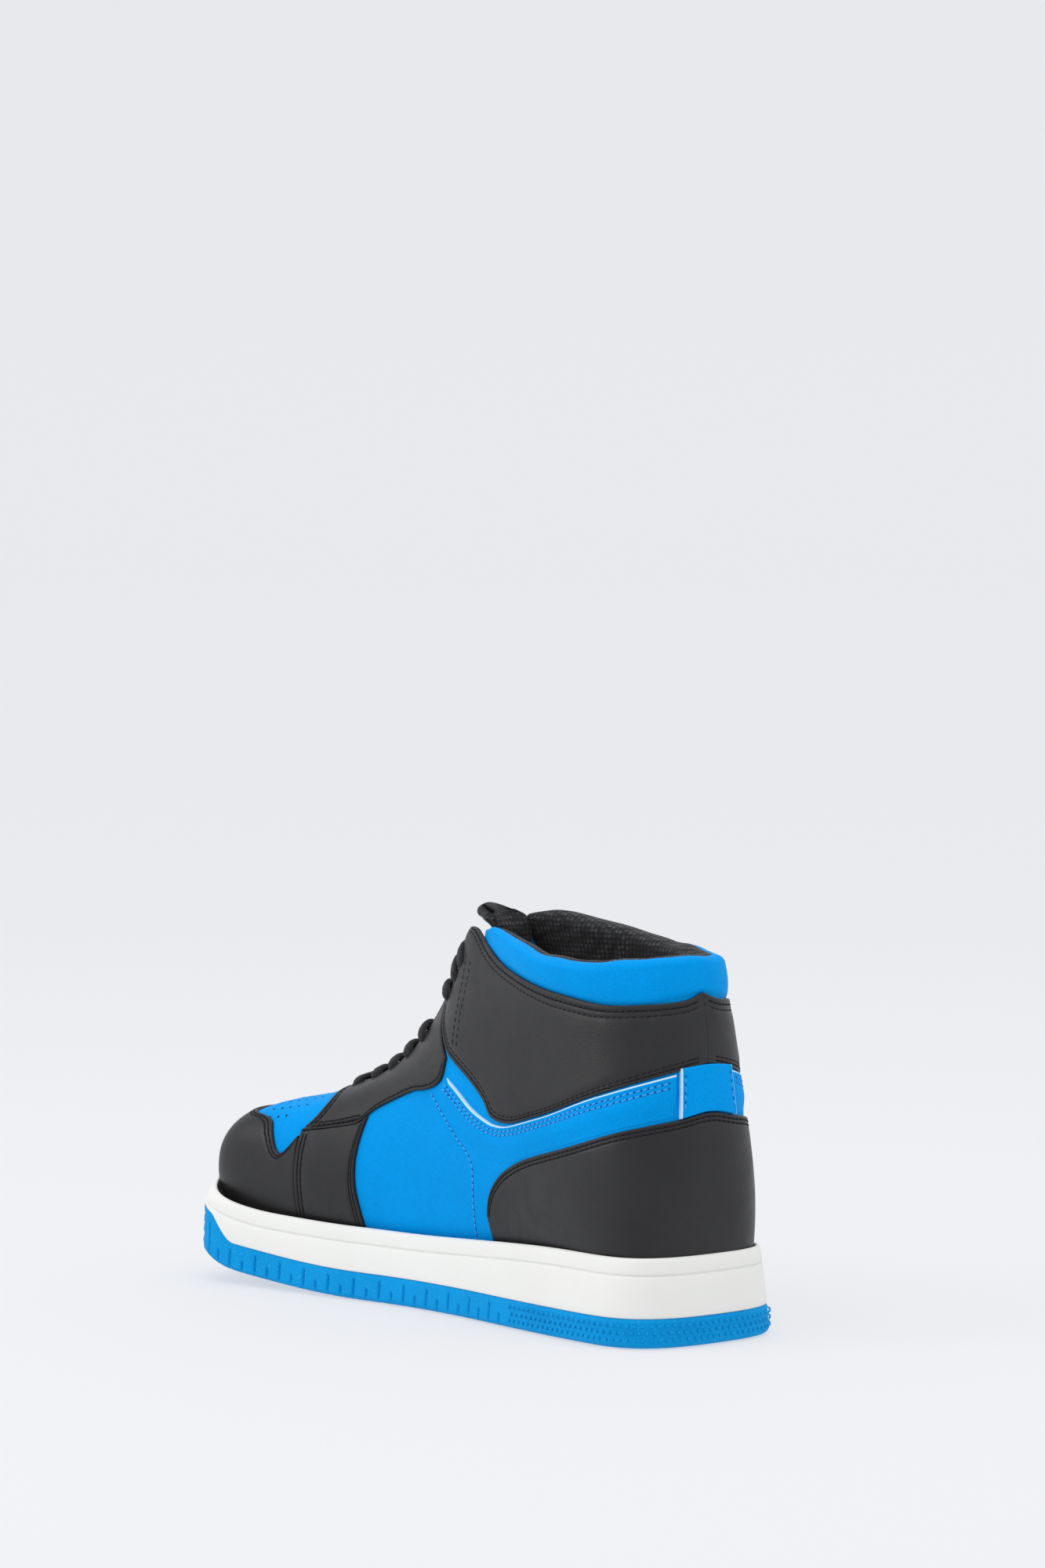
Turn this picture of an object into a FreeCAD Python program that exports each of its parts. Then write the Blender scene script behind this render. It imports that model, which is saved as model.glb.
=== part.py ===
import FreeCAD, Part
import math
import os

os.makedirs("parts", exist_ok=True)
doc = FreeCAD.newDocument("high_top")
V = FreeCAD.Vector

# ------------------------------------------------------------------ driving sizes (mm)
# One right-foot shoe standing on its sole: +X to the toe, +Y to the medial side, +Z up.
SIZES = [
    ("sole_length", 296.0), ("sole_heel_half_width", 43.0), ("sole_waist_half_width", 38.0),
    ("sole_ball_half_width", 48.5), ("band_height", 12.0), ("toe_spring", 11.5),
    ("wall_top_heel", 36.0), ("wall_top_forefoot", 31.0), ("wall_toe_rise", 10.5),
    ("wall_inset_top", 3.7), ("wall_thickness", 2.0), ("tread_plate", 5.0),
    ("band_wall", 3.0), ("tread_groove_depth", 1.6), ("tread_groove_width", 2.2),
    ("tread_groove_pitch", 12.0), ("cup_floor", 15.0), ("wedge_thickness", 3.6),
    ("wedge_inset", 14.0), ("board_thickness", 1.6), ("board_inset", 17.5),
    ("sockliner_thickness", 4.0), ("sockliner_inset", 17.0), ("bed_block_height", 70.0),
    ("layer_gap", 0.3), ("overlay_thickness", 1.2), ("base_thickness", 1.2),
    ("stiffener_thickness", 0.9), ("lining_thickness", 0.9), ("collar_padding", 6.6),
    ("tongue_skin", 1.1), ("tongue_padding", 5.0), ("eyelet_radius", 2.9),
    ("lace_radius", 1.6), ("bumper_rise", 13.0), ("toe_curl", 4.0),
    ("collar_front_half", 1.6), ("centre_shift", 0.5),
]
sheet = doc.addObject("Spreadsheet::Sheet", "Sizes")
for row, (name, value) in enumerate(SIZES, 1):
    sheet.set("A%d" % row, name)
    sheet.set("B%d" % row, str(value))
    sheet.setAlias("B%d" % row, name)
doc.recompute()


def size(name):
    """A driving size read back from the sheet."""
    return float(getattr(sheet, name))


LENGTH = size("sole_length")
HALF = LENGTH / 2.0
GAP = size("layer_gap")

# ------------------------------------------------------------------ the last surface
# Stations run from the toe tip to the centre back; each gives the foot x, the topline x,
# a bulge in x at mid height, the top height, how domed the section is (1 = closed over
# the foot, 0 = an upright wall) and six half widths from the feather line to the top.
LAST = [
    (136.3, 136.3, 0, 30, 1.0, 0, 0, 0, 0, 0, 0),
    (136.3, 137.3, 4, 56, 1.0, 17.5, 23.5, 25.5, 23.5, 12, 0),
    (129, 127, 3, 77, 1.0, 28, 35, 37, 34, 16, 0),
    (106, 100, 0, 81, 1.0, 34, 41, 42, 36, 17, 0),
    (72, 68, 0, 88, 1.0, 35, 43, 43, 36, 18, 0),
    (38, 44, 0, 99, 0.8, 30, 39, 39, 33, 20, 5),
    (4, 22, 0, 119, 0.4, 25, 34, 36, 33, 22, 10),
    (-30, 2, 0, 145, 0.1, 25, 33.5, 36, 34, 26, 11),
    (-64, -6, 0, 169, 0.0, 27, 35, 37, 35, 28, 10),
    (-98, -72, 0, 155, 0.0, 29, 37, 39, 37, 34, 36),
    (-128, -112.5, -3, 157, 0.0, 32.7, 40.1, 40.3, 36, 32.5, 30.5),
    (-140.3, -133.5, -4, 158, 0.0, 23, 27, 25.5, 20, 16.5, 15.5),
    (-140.3, -133.5, -4, 158, 0.0, 0, 0, 0, 0, 0, 0),
]
DOME_LEVELS = (0.0, 0.32, 0.66, 0.93, 1.0, 1.0)
WALL_LEVELS = (0.0, 0.18, 0.38, 0.60, 0.82, 1.0)
FEATHER_Z = 15.5
FLAT_END = 30.0
CENTRE = [(-150, 0), (-100, 0), (-50, -2), (0, -3), (40, -4), (75, -4), (105, 0), (130, 8), (150, 12)]


def lerp(a, b, f):
    return a + (b - a) * f


def table(rows, x):
    """Piecewise linear look-up, held at both ends."""
    if x <= rows[0][0]:
        return rows[0][1]
    for (x0, y0), (x1, y1) in zip(rows, rows[1:]):
        if x <= x1:
            return lerp(y0, y1, (x - x0) / float(x1 - x0))
    return rows[-1][1]


def centre_y(x):
    """Sideways sweep of the foot's centre line, smoothed over 24 mm."""
    return size("centre_shift") + sum(table(CENTRE, x + k) for k in (-12, -6, 0, 6, 12)) / 5.0


def last_net():
    net = []
    for low, top, bulge, height, dome, *widths in LAST:
        foot = FEATHER_Z + size("toe_spring") * (max(0.0, low - FLAT_END) / (HALF - FLAT_END)) ** 2
        row = []
        for j in range(6):
            f = lerp(WALL_LEVELS[j], DOME_LEVELS[j], dome)
            x = lerp(low, top, f) + bulge * 4.0 * f * (1.0 - f)
            row.append((x, float(widths[j]), lerp(foot, height, f)))
        net.append(row)
    return net


def cubic(count, f):
    """First pole and the four clamped uniform cubic weights at f in [0, 1]."""
    spans = count - 3
    knots = [0] * 3 + list(range(spans + 1)) + [spans] * 3
    u = min(max(f, 0.0), 1.0) * spans
    i = min(int(u), spans - 1) + 3
    weights = [1.0, 0.0, 0.0, 0.0]
    for d in range(1, 4):
        saved = 0.0
        for r in range(d):
            right = knots[i + r + 1] - u
            left = u - knots[i + 1 - d + r]
            part = weights[r] / (right + left)
            weights[r] = saved + right * part
            saved = left * part
        weights[d] = saved
    return i - 3, weights


NET = last_net()


def surface(side, a, v):
    """Point on the last: a 0 toe .. 1 back, v 0 feather .. 1 topline, side +1 or -1."""
    i, wa = cubic(len(NET), a)
    j, wv = cubic(6, v)
    x = w = z = 0.0
    for p in range(4):
        for q in range(4):
            node = NET[i + p][j + q]
            k = wa[p] * wv[q]
            x += k * node[0]
            w += k * node[1]
            z += k * node[2]
    return V(x, centre_y(x) + side * w, z)


def unfold(a, v):
    """Carry (a, v) past the ridge (v > 1) or the centre back (a > 1) to the other side."""
    side = 1
    if a > 1.0:
        a, side = 2.0 - a, -side
    if v > 1.0:
        v, side = 2.0 - v, -side
    return side, a, v


def skin(a, v, offset, mirror=1):
    """Last point moved out along the surface normal by offset."""
    step = 0.004
    side, a0, v0 = unfold(a, v)
    side *= mirror
    here = surface(side, a0, v0)
    a1 = a0 + step if a0 < 0.5 else a0 - step
    v1 = v0 + step if v0 < 0.5 else v0 - step
    da = (surface(side, a1, v0) - here) * (1.0 if a1 > a0 else -1.0)
    dv = (surface(side, a0, v1) - here) * (1.0 if v1 > v0 else -1.0)
    normal = da.cross(dv) * side
    if normal.Length < 1e-9:
        normal = V(1, 0, 0)
    normal.normalize()
    return here + normal * offset


# ---- end of surface
# ------------------------------------------------------------------ curves in (a, v)
A_SCALE = 2.1


def spline(points, f):
    """Catmull-Rom through hand-placed (a, v) points, spaced by chord length."""
    chords = [0.0]
    for (a0, v0), (a1, v1) in zip(points, points[1:]):
        chords.append(chords[-1] + math.hypot((a1 - a0) * A_SCALE, v1 - v0))
    at = f * chords[-1]
    k = 0
    while k < len(points) - 2 and at > chords[k + 1]:
        k += 1
    t = (at - chords[k]) / (chords[k + 1] - chords[k])
    p1, p2 = points[k], points[k + 1]
    p0 = points[k - 1] if k else tuple(2 * p1[i] - p2[i] for i in (0, 1))
    p3 = points[k + 2] if k + 2 < len(points) else tuple(2 * p2[i] - p1[i] for i in (0, 1))
    out = []
    for i in (0, 1):
        m1 = (p2[i] - p0[i]) * 0.5
        m2 = (p3[i] - p1[i]) * 0.5
        out.append((2 * t ** 3 - 3 * t * t + 1) * p1[i] + (t ** 3 - 2 * t * t + t) * m1
                   + (3 * t * t - 2 * t ** 3) * p2[i] + (t ** 3 - t * t) * m2)
    return tuple(out)


def coons(bottom, top, left, right):
    """Map of the unit square onto a four-sided outline in (a, v)."""
    left = left or [bottom[0], top[0]]
    right = right or [bottom[-1], top[-1]]

    def at(s, t):
        b, c = spline(bottom, s), spline(top, s)
        e, r = spline(left, t), spline(right, t)
        return tuple((1 - t) * b[i] + t * c[i] + (1 - s) * e[i] + s * r[i]
                     - (1 - s) * (1 - t) * bottom[0][i] - s * (1 - t) * bottom[-1][i]
                     - (1 - s) * t * top[0][i] - s * t * top[-1][i] for i in (0, 1))
    return at


# ------------------------------------------------------------------ solids from point grids
def greville(count, i):
    """Parameter at which grid row i is sampled, for count clamped cubic poles."""
    spans = count - 3
    knots = [min(max(i + k - 3, 0), spans) for k in (1, 2, 3)]
    return sum(knots) / (3.0 * spans)


INVERSES = {}


def pole_weights(count):
    """Inverse of the spline matrix: poles = weights x sampled points."""
    if count in INVERSES:
        return INVERSES[count]
    rows = []
    for i in range(count):
        row = [0.0] * (2 * count)
        first, weights = cubic(count, greville(count, i))
        for k in range(4):
            row[first + k] = weights[k]
        row[count + i] = 1.0
        rows.append(row)
    for i in range(count):
        pivot = rows[i][i]
        rows[i] = [x / pivot for x in rows[i]]
        for k in range(count):
            factor = rows[k][i]
            if k != i and factor:
                rows[k] = [x - factor * y for x, y in zip(rows[k], rows[i])]
    INVERSES[count] = [row[count:] for row in rows]
    return INVERSES[count]


def poles_through(points):
    """Poles of the uniform cubic that passes through points sampled at greville()."""
    out = []
    for row in pole_weights(len(points)):
        total = V(0, 0, 0)
        for k, point in zip(row, points):
            if abs(k) > 1e-9:
                total = total + point * k
        out.append(total)
    return out


def grid_face(grid):
    """B-spline surface through a grid sampled at greville() both ways."""
    rows = [poles_through(row) for row in grid]
    columns = [poles_through([row[j] for row in rows]) for j in range(len(rows[0]))]
    poles = [[column[i] for column in columns] for i in range(len(grid))]
    nu, nv = len(grid), len(grid[0])
    face = Part.BSplineSurface()
    face.buildFromPolesMultsKnots(
        poles, [4] + [1] * (nu - 4) + [4], [4] + [1] * (nv - 4) + [4],
        [float(k) for k in range(nu - 2)], [float(k) for k in range(nv - 2)],
        False, False, 3, 3)
    return face


def rim_face(low, high):
    """Ruled face between two boundary rows of poles."""
    count = len(low)
    face = Part.BSplineSurface()
    face.buildFromPolesMultsKnots(
        [low, high], [2, 2], [4] + [1] * (count - 4) + [4], [0.0, 1.0],
        [float(k) for k in range(count - 2)], False, False, 1, 3)
    return face


def thick_sheet(inner, outer):
    """Closed solid between two point grids with the same layout."""
    a, b = grid_face(inner), grid_face(outer)
    p, q = a.getPoles(), b.getPoles()
    rims = [rim_face(p[0], q[0]), rim_face(p[-1], q[-1]),
            rim_face([row[0] for row in p], [row[0] for row in q]),
            rim_face([row[-1] for row in p], [row[-1] for row in q])]
    shell = Part.makeCompound([face.toShape() for face in [a, b] + rims])
    shell.sewShape(0.001)
    solid = Part.Solid(shell.Shells[0])
    if solid.Volume < 0:
        solid.reverse()
    return solid


def panel_solid(shape, low, high, mirror, nu=15, nv=8):
    """A panel of the upper: outline map, inner and outer offset from the last."""
    grids = []
    for offset in (low, high):
        grid = []
        for i in range(nu):
            row = []
            for j in range(nv):
                a, v = shape(greville(nu, i), greville(nv, j))
                row.append(skin(a, v, offset, mirror))
            grid.append(row)
        grids.append(grid)
    return thick_sheet(*grids)


def feature(label, shape):
    item = doc.addObject("Part::Feature", label)
    item.Label = label
    item.Shape = shape
    item.Placement = FreeCAD.Placement()
    return item


def both_ways(points, about=1.0, axis=0):
    """Carry a run of points over the centre line so that it ends on the other side."""
    back = []
    for p in reversed(points[:-1]):
        q = list(p)
        q[axis] = 2 * about - q[axis]
        back.append(tuple(q))
    return points + back


# ------------------------------------------------------------------ sole stack
def half_width(x):
    """Half width of the sole, squarish round the heel and the toe."""
    heel, waist, ball = (size("sole_%s_half_width" % k) for k in ("heel", "waist", "ball"))
    rows = [(-HALF, heel), (-105, heel), (-60, heel - 1.5), (-20, waist), (20, waist + 1.0),
            (60, ball - 1.5), (95, ball), (HALF, ball - 2.5)]
    width = sum(table(rows, x + k) for k in (-16, -8, 0, 8, 16)) / 5.0
    back = min(1.0, (x + HALF) / 34.0)
    front = min(1.0, (HALF - x) / 50.0)
    width *= (1.0 - (1.0 - back) ** 2.8) ** (1 / 2.8)
    return width * (1.0 - (1.0 - front) ** 3.0) ** (1 / 3.0)


def sole_ring(inset, count=40):
    """Closed outline of the sole moved inward by inset."""
    ring = []
    for k in range(count):
        turn = 2.0 * math.pi * k / count
        x = HALF * math.cos(turn) * (1.0 - 1e-9)
        side = 1.0 if math.sin(turn) >= 0 else -1.0
        ring.append(V(x, centre_y(x) + side * half_width(x), 0))
    moved = []
    for k in range(count):
        along = ring[(k + 1) % count] - ring[k - 1]
        along.normalize()
        moved.append(ring[k] + V(-along.y, along.x, 0) * inset)
    return moved


def ring_curve(inset, z):
    curve = Part.BSplineCurve()
    curve.interpolate([p + V(0, 0, z) for p in sole_ring(inset)], PeriodicFlag=True)
    return curve


def ground(x):
    """Height of the sole stack: flat to the ball, then the toe spring."""
    return size("toe_spring") * (max(0.0, x - FLAT_END) / (HALF - FLAT_END)) ** 2


def underside(x):
    """The tread itself, which curls up a little more at the tip."""
    return ground(x) + size("toe_curl") * (max(0.0, x - 118.0) / (HALF - 118.0)) ** 2


def band_top(x):
    """Upper edge of the rubber band, with the bumper that climbs the toe."""
    f = min(max((x - 112.0) / 22.0, 0.0), 1.0)
    return ground(x) + size("band_height") + size("bumper_rise") * f * f * (3.0 - 2.0 * f)


def above_ground(height):
    return lambda x: ground(x) + height


def wall_top(x):
    f = min(max((x + 100.0) / 120.0, 0.0), 1.0)
    f = f * f * (3.0 - 2.0 * f)
    lift = size("wall_toe_rise") * (max(0.0, x - 90.0) / (HALF - 90.0)) ** 2
    return lerp(size("wall_top_heel"), size("wall_top_forefoot"), f) + 0.45 * ground(x) + lift


STATIONS = [-165, -130, -100, -70, -40, -10, 20, 45, 70, 90, 105, 114, 123, 132, 140, 148, 165]


def profile(height, level=False):
    """Side profile over the stations; a level one is a straight line up to FLAT_END."""
    points = [V(x, 0, height(min(max(x, -HALF), HALF + 8.0))) for x in STATIONS]
    curve = Part.BSplineCurve()
    if not level:
        curve.interpolate(points)
        return [curve.toShape()]
    start = V(FLAT_END, 0, points[0].z)
    ahead = [start] + [p for p in points if p.x > FLAT_END]
    curve.interpolate(ahead, InitialTangent=V(1, 0, 0), FinalTangent=ahead[-1] - ahead[-2])
    return [Part.makeLine(points[0], start), curve.toShape()]


def sole_block(inset, taper, low, high, level=False):
    """Sole outline lofted with an even taper, kept between two side profiles."""
    rings = [Part.Wire([ring_curve(inset + taper * z, z).toShape()]) for z in (-6.0, 90.0)]
    block = Part.makeLoft(rings, True, False)
    down, up = profile(low, level), profile(high)
    ends = []
    for x in (STATIONS[0], STATIONS[-1]):
        spot = min(max(x, -HALF), HALF + 8.0)
        ends.append(Part.makeLine(V(x, 0, low(spot)), V(x, 0, high(spot))))
    face = Part.Face(Part.Wire(Part.sortEdges(down + up + ends)[0]))
    face.translate(V(0, -80, 0))
    return block.common(face.extrude(V(0, 160, 0)))


TAPER = size("wall_inset_top") / size("wall_top_heel")
tread = size("tread_plate")
outsole = sole_block(0.0, 0.0, underside, band_top, True)
outsole = outsole.cut(sole_block(size("band_wall"), 0.0, above_ground(tread), above_ground(40.0)))
grooves = []
x = -126.0
while x < 130.0:
    cut = Part.makeBox(size("tread_groove_width"), 120.0, 8.0 + size("tread_groove_depth"),
                       V(x, -60.0, underside(x + 1.0) - 8.0))
    grooves.append(cut)
    x += size("tread_groove_pitch")
outsole = outsole.cut(Part.makeCompound(grooves))
feature("outsole", outsole)

wall = sole_block(0.2, TAPER, lambda x: band_top(x) + 0.1, wall_top)
plug = sole_block(size("band_wall") + GAP, 0.0, above_ground(tread + 0.2),
                  lambda x: band_top(x) + 1.5)
cavity = sole_block(size("wall_thickness"), TAPER, above_ground(size("cup_floor")),
                    above_ground(80.0))
feature("midsole_cup", wall.fuse(plug).cut(cavity).removeSplitter())


def bed_body(label, inset, low, high, expression):
    """A flat part of the foot bed: outline pad trimmed by its side profile."""
    body = doc.addObject("PartDesign::Body", label)
    body.Label = label
    planes = dict((item.Role, item) for item in body.Origin.OriginFeatures)
    plan = body.newObject("Sketcher::SketchObject", label + "_plan")
    plan.AttachmentSupport = [(planes["XY_Plane"], "")]
    plan.MapMode = "FlatFace"
    plan.addGeometry(ring_curve(inset, 0.0), False)
    pad = body.newObject("PartDesign::Pad", label + "_pad")
    pad.Profile = plan
    pad.setExpression("Length", expression)
    side = body.newObject("Sketcher::SketchObject", label + "_side")
    side.AttachmentSupport = [(planes["XZ_Plane"], "")]
    side.MapMode = "FlatFace"
    for height, limit in ((low, -40.0), (high, 120.0)):
        curve = Part.BSplineCurve()
        curve.interpolate([V(p, height(min(max(p, -HALF), HALF + 8)), 0) for p in STATIONS])
        first, last = curve.value(curve.FirstParameter), curve.value(curve.LastParameter)
        corners = [first, V(first.x, limit, 0), V(last.x, limit, 0), last]
        side.addGeometry(curve, False)
        for p, q in zip(corners, corners[1:]):
            side.addGeometry(Part.LineSegment(p, q), False)
    pocket = body.newObject("PartDesign::Pocket", label + "_trim")
    pocket.Profile = side
    pocket.Type = "ThroughAll"
    pocket.Midplane = True
    body.Tip = pocket
    doc.recompute()
    return body


floor = size("cup_floor") + 0.3
wedge = size("wedge_thickness")
board = size("board_thickness")
bed_body("midsole_wedge", size("wedge_inset"), above_ground(floor), above_ground(floor + wedge),
         "Sizes.bed_block_height")
bed_body("lasting_board", size("board_inset"), above_ground(floor + wedge + 0.2),
         above_ground(floor + wedge + 0.2 + board), "Sizes.bed_block_height")
under = floor + wedge + board + 0.5
bed_body("sockliner", size("sockliner_inset"), above_ground(under),
         above_ground(under + size("sockliner_thickness")), "Sizes.bed_block_height")

# ------------------------------------------------------------------ layers (offsets from the last)
BASE = (-size("base_thickness"), 0.0)
OVER = (GAP, GAP + size("overlay_thickness"))
STIFF = (BASE[0] - GAP - size("stiffener_thickness"), BASE[0] - GAP)
LINE = (STIFF[0] - GAP - size("lining_thickness"), STIFF[0] - GAP)
PAD = (BASE[0] - GAP - size("collar_padding"), BASE[0] - GAP)
COLLAR_LINE = (PAD[0] - GAP - size("lining_thickness"), PAD[0] - GAP)

# ------------------------------------------------------------------ panel outlines (a, v)
TOE_EDGE = [(0.264, 0.410), (0.250, 0.350), (0.238, 0.322), (0.226, 0.350), (0.213, 0.460),
            (0.203, 0.550), (0.188, 0.600), (0.150, 0.680), (0.122, 0.820), (0.112, 1.000)]
TOE_FOOT = [(0.264, 0.020), (0.250, 0.020), (0.238, 0.020), (0.220, 0.020), (0.195, 0.025),
            (0.165, 0.030), (0.130, 0.045), (0.095, 0.070), (0.058, 0.120), (0.026, 0.300),
            (0.012, 0.600), (0.008, 1.000)]
VAMP_FRONT = [(0.230, 0.020), (0.190, 0.150), (0.150, 0.350), (0.120, 0.600), (0.092, 0.850),
              (0.088, 1.000)]
VAMP_REAR = [(0.368, 0.020), (0.368, 0.250), (0.360, 0.500), (0.320, 0.750), (0.280, 0.900),
             (0.262, 1.000)]
VAMP_LINING_FRONT = [(0.205, 0.030), (0.170, 0.150), (0.125, 0.350), (0.095, 0.600),
                     (0.070, 0.850), (0.065, 1.000)]
VAMP_LINING_REAR = [(0.368, 0.030), (0.368, 0.250), (0.358, 0.500), (0.315, 0.750),
                    (0.272, 0.900), (0.255, 1.000)]
PUFF_FRONT = [(0.190, 0.060), (0.160, 0.120), (0.115, 0.300), (0.085, 0.550), (0.066, 0.850),
              (0.062, 1.000)]
PUFF_REAR = [(0.215, 0.060), (0.210, 0.200), (0.195, 0.450), (0.170, 0.600), (0.135, 0.850),
             (0.128, 1.000)]
COUNTER_TOP = [(0.657, 0.144), (0.675, 0.200), (0.703, 0.256), (0.730, 0.300), (0.768, 0.356),
               (0.820, 0.419), (0.893, 0.494), (0.943, 0.531), (0.975, 0.551), (1.000, 0.572)]
COUNTER_FOOT = [(0.645, 0.020), (0.760, 0.020), (0.880, 0.020), (1.000, 0.020)]
STIFFENER_TOP = [(0.800, 0.300), (0.860, 0.420), (0.930, 0.480), (1.000, 0.500)]
STIFFENER_FOOT = [(0.790, 0.030), (0.860, 0.030), (0.930, 0.030), (1.000, 0.030)]
TAB_TOP = [(0.9735, 0.716), (1.000, 0.724)]
TAB_FOOT = [(0.9735, 0.562), (1.000, 0.584)]
PANELS = {
    "side_panel": dict(
        bottom=[(0.270, 0.020), (0.330, 0.020), (0.395, 0.020)],
        top=[(0.272, 0.441), (0.330, 0.448), (0.390, 0.466), (0.408, 0.500)],
        left=[(0.270, 0.020), (0.268, 0.150), (0.268, 0.300), (0.272, 0.441)],
        right=[(0.395, 0.020), (0.391, 0.120), (0.388, 0.200), (0.393, 0.325), (0.408, 0.500)]),
    "eyestay": dict(
        bottom=[(0.272, 0.457), (0.330, 0.464), (0.390, 0.484), (0.424, 0.562), (0.468, 0.613),
                (0.515, 0.640), (0.550, 0.631), (0.578, 0.631), (0.598, 0.650), (0.609, 0.700)],
        top=[(0.276, 0.930), (0.330, 0.925), (0.420, 0.935), (0.500, 0.955), (0.564, 0.975)],
        left=[(0.272, 0.457), (0.292, 0.540), (0.302, 0.644), (0.297, 0.750), (0.276, 0.930)],
        right=[(0.609, 0.700), (0.580, 0.850), (0.564, 0.975)]),
    "ankle_panel": dict(
        bottom=[(0.573, 0.980), (0.586, 0.870), (0.618, 0.742), (0.640, 0.687), (0.681, 0.600),
                (0.704, 0.530), (0.714, 0.470), (0.743, 0.466), (0.790, 0.529), (0.853, 0.615),
                (0.905, 0.665), (0.950, 0.702), (0.9975, 0.736)],
        top=[(0.672, 0.985), (0.703, 0.972), (0.743, 0.938), (0.777, 0.925), (0.840, 0.913),
             (0.893, 0.897), (0.940, 0.897), (0.985, 0.906), (0.9975, 0.917)],
        left=[(0.573, 0.980), (0.605, 0.985), (0.640, 0.988), (0.672, 0.985)],
        right=None),
    "strap": dict(
        bottom=[(0.588, 0.600), (0.612, 0.500), (0.642, 0.400), (0.680, 0.320), (0.730, 0.313),
                (0.768, 0.369), (0.820, 0.432), (0.893, 0.507), (0.943, 0.544), (0.970, 0.560)],
        top=[(0.612, 0.648), (0.645, 0.576), (0.677, 0.496), (0.703, 0.456), (0.720, 0.445),
             (0.743, 0.456), (0.790, 0.520), (0.853, 0.607), (0.905, 0.657), (0.950, 0.694),
             (0.970, 0.709)],
        left=None, right=None),
    "quarter": dict(
        bottom=[(0.377, 0.020), (0.600, 0.020), (0.800, 0.020), (0.9975, 0.020)],
        top=[(0.377, 0.500), (0.430, 0.640), (0.500, 0.740), (0.570, 0.800), (0.630, 0.780),
             (0.690, 0.660), (0.740, 0.580), (0.850, 0.660), (0.9975, 0.760)],
        left=None, right=None),
    "quarter_lining": dict(
        bottom=[(0.377, 0.030), (0.520, 0.030), (0.664, 0.030)],
        top=[(0.377, 0.500), (0.430, 0.780), (0.480, 0.900), (0.560, 0.950), (0.664, 0.970)],
        left=None, right=None),
}

# eyelets: five in each eyestay and three in each ankle panel
EYELETS = [(0.322, 0.830), (0.372, 0.845), (0.420, 0.860), (0.467, 0.875), (0.513, 0.890),
           (0.598, 0.920), (0.627, 0.930), (0.655, 0.935)]
LACE_EDGE = [(0.270, 0.930), (0.330, 0.925), (0.420, 0.935), (0.500, 0.955), (0.564, 0.975),
             (0.600, 0.985), (0.672, 0.985)]

PIN_BELOW, PIN_ABOVE = 9.0, 6.0


def eyelet_cutters(side):
    """Pins along the surface normal that punch the lace holes on one side."""
    pins = []
    for a, v in EYELETS:
        low = skin(a, v, -PIN_BELOW, side)
        high = skin(a, v, PIN_ABOVE, side)
        pins.append(Part.makeCylinder(size("eyelet_radius"), PIN_BELOW + PIN_ABOVE, low, high - low))
    return Part.makeCompound(pins)


CLOSE_GRID, OPEN_GRID, ACROSS_GRID = 29, 17, 9
HOLED = ("eyestay", "ankle_panel", "quarter_lining")
LAYER = {"side_panel": OVER, "eyestay": OVER, "ankle_panel": OVER, "strap": OVER,
         "quarter": BASE, "quarter_lining": LINE}
for name, outline in PANELS.items():
    grid_u = CLOSE_GRID if name in ("ankle_panel", "strap", "eyestay") else OPEN_GRID
    for side, where in ((1, "medial"), (-1, "lateral")):
        solid = panel_solid(coons(**outline), LAYER[name][0], LAYER[name][1], side, grid_u, ACROSS_GRID)
        if name in HOLED:
            solid = solid.cut(eyelet_cutters(side))
        feature(name + "_" + where, solid)


# ------------------------------------------------------------------ panels that cross the centre line
def crossing(foot, edge, axis):
    return coons(both_ways(foot, 1.0, axis), both_ways(edge, 1.0, axis), None, None)


TAB_FOLD = 0.6
feature("toe_cap", panel_solid(crossing(TOE_FOOT, TOE_EDGE, 1), OVER[0], OVER[1], 1, 39, 8))
feature("vamp", panel_solid(crossing(VAMP_FRONT, VAMP_REAR, 1), BASE[0], BASE[1], 1, 25, 9))
feature("toe_puff", panel_solid(crossing(PUFF_FRONT, PUFF_REAR, 1), STIFF[0], STIFF[1], 1, 21, 6))
feature("vamp_lining",
        panel_solid(crossing(VAMP_LINING_FRONT, VAMP_LINING_REAR, 1), LINE[0], LINE[1], 1, 25, 9))
feature("heel_counter",
        panel_solid(crossing(COUNTER_FOOT, COUNTER_TOP, 0), OVER[0], OVER[1], 1, 35, 8))
feature("heel_stiffener",
        panel_solid(crossing(STIFFENER_FOOT, STIFFENER_TOP, 0), STIFF[0], STIFF[1], 1, 25, 7))
feature("heel_tab", panel_solid(crossing(TAB_FOOT, TAB_TOP, 0), OVER[0], OVER[1] + TAB_FOLD, 1, 9, 5))

HEEL_LINING_TOP = [(0.668, 0.560), (0.760, 0.580), (0.880, 0.600), (1.000, 0.600)]
HEEL_LINING_FOOT = [(0.668, 0.030), (0.760, 0.030), (0.880, 0.030), (1.000, 0.030)]
COLLAR_FOOT = [(0.775, 0.640), (0.800, 0.630), (0.880, 0.630), (1.000, 0.630)]
COLLAR_PAD_TOP = [(0.775, 0.955), (0.800, 0.960), (0.880, 0.965), (1.000, 0.965)]
feature("heel_lining",
        panel_solid(crossing(HEEL_LINING_FOOT, HEEL_LINING_TOP, 0), LINE[0], LINE[1], 1, 35, 8))
feature("collar_padding",
        panel_solid(crossing(COLLAR_FOOT, COLLAR_PAD_TOP, 0), PAD[0], PAD[1], 1, 33, 6))


# the collar's front end, the length over which it grows to full thickness, and its levels in v
COLLAR_FRONT, COLLAR_GROWTH = 0.702, 0.080
COLLAR_SEAM, COLLAR_CREST, COLLAR_HEM = 0.868, 0.985, 0.640
CREST_FLATTEN = 0.85


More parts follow.
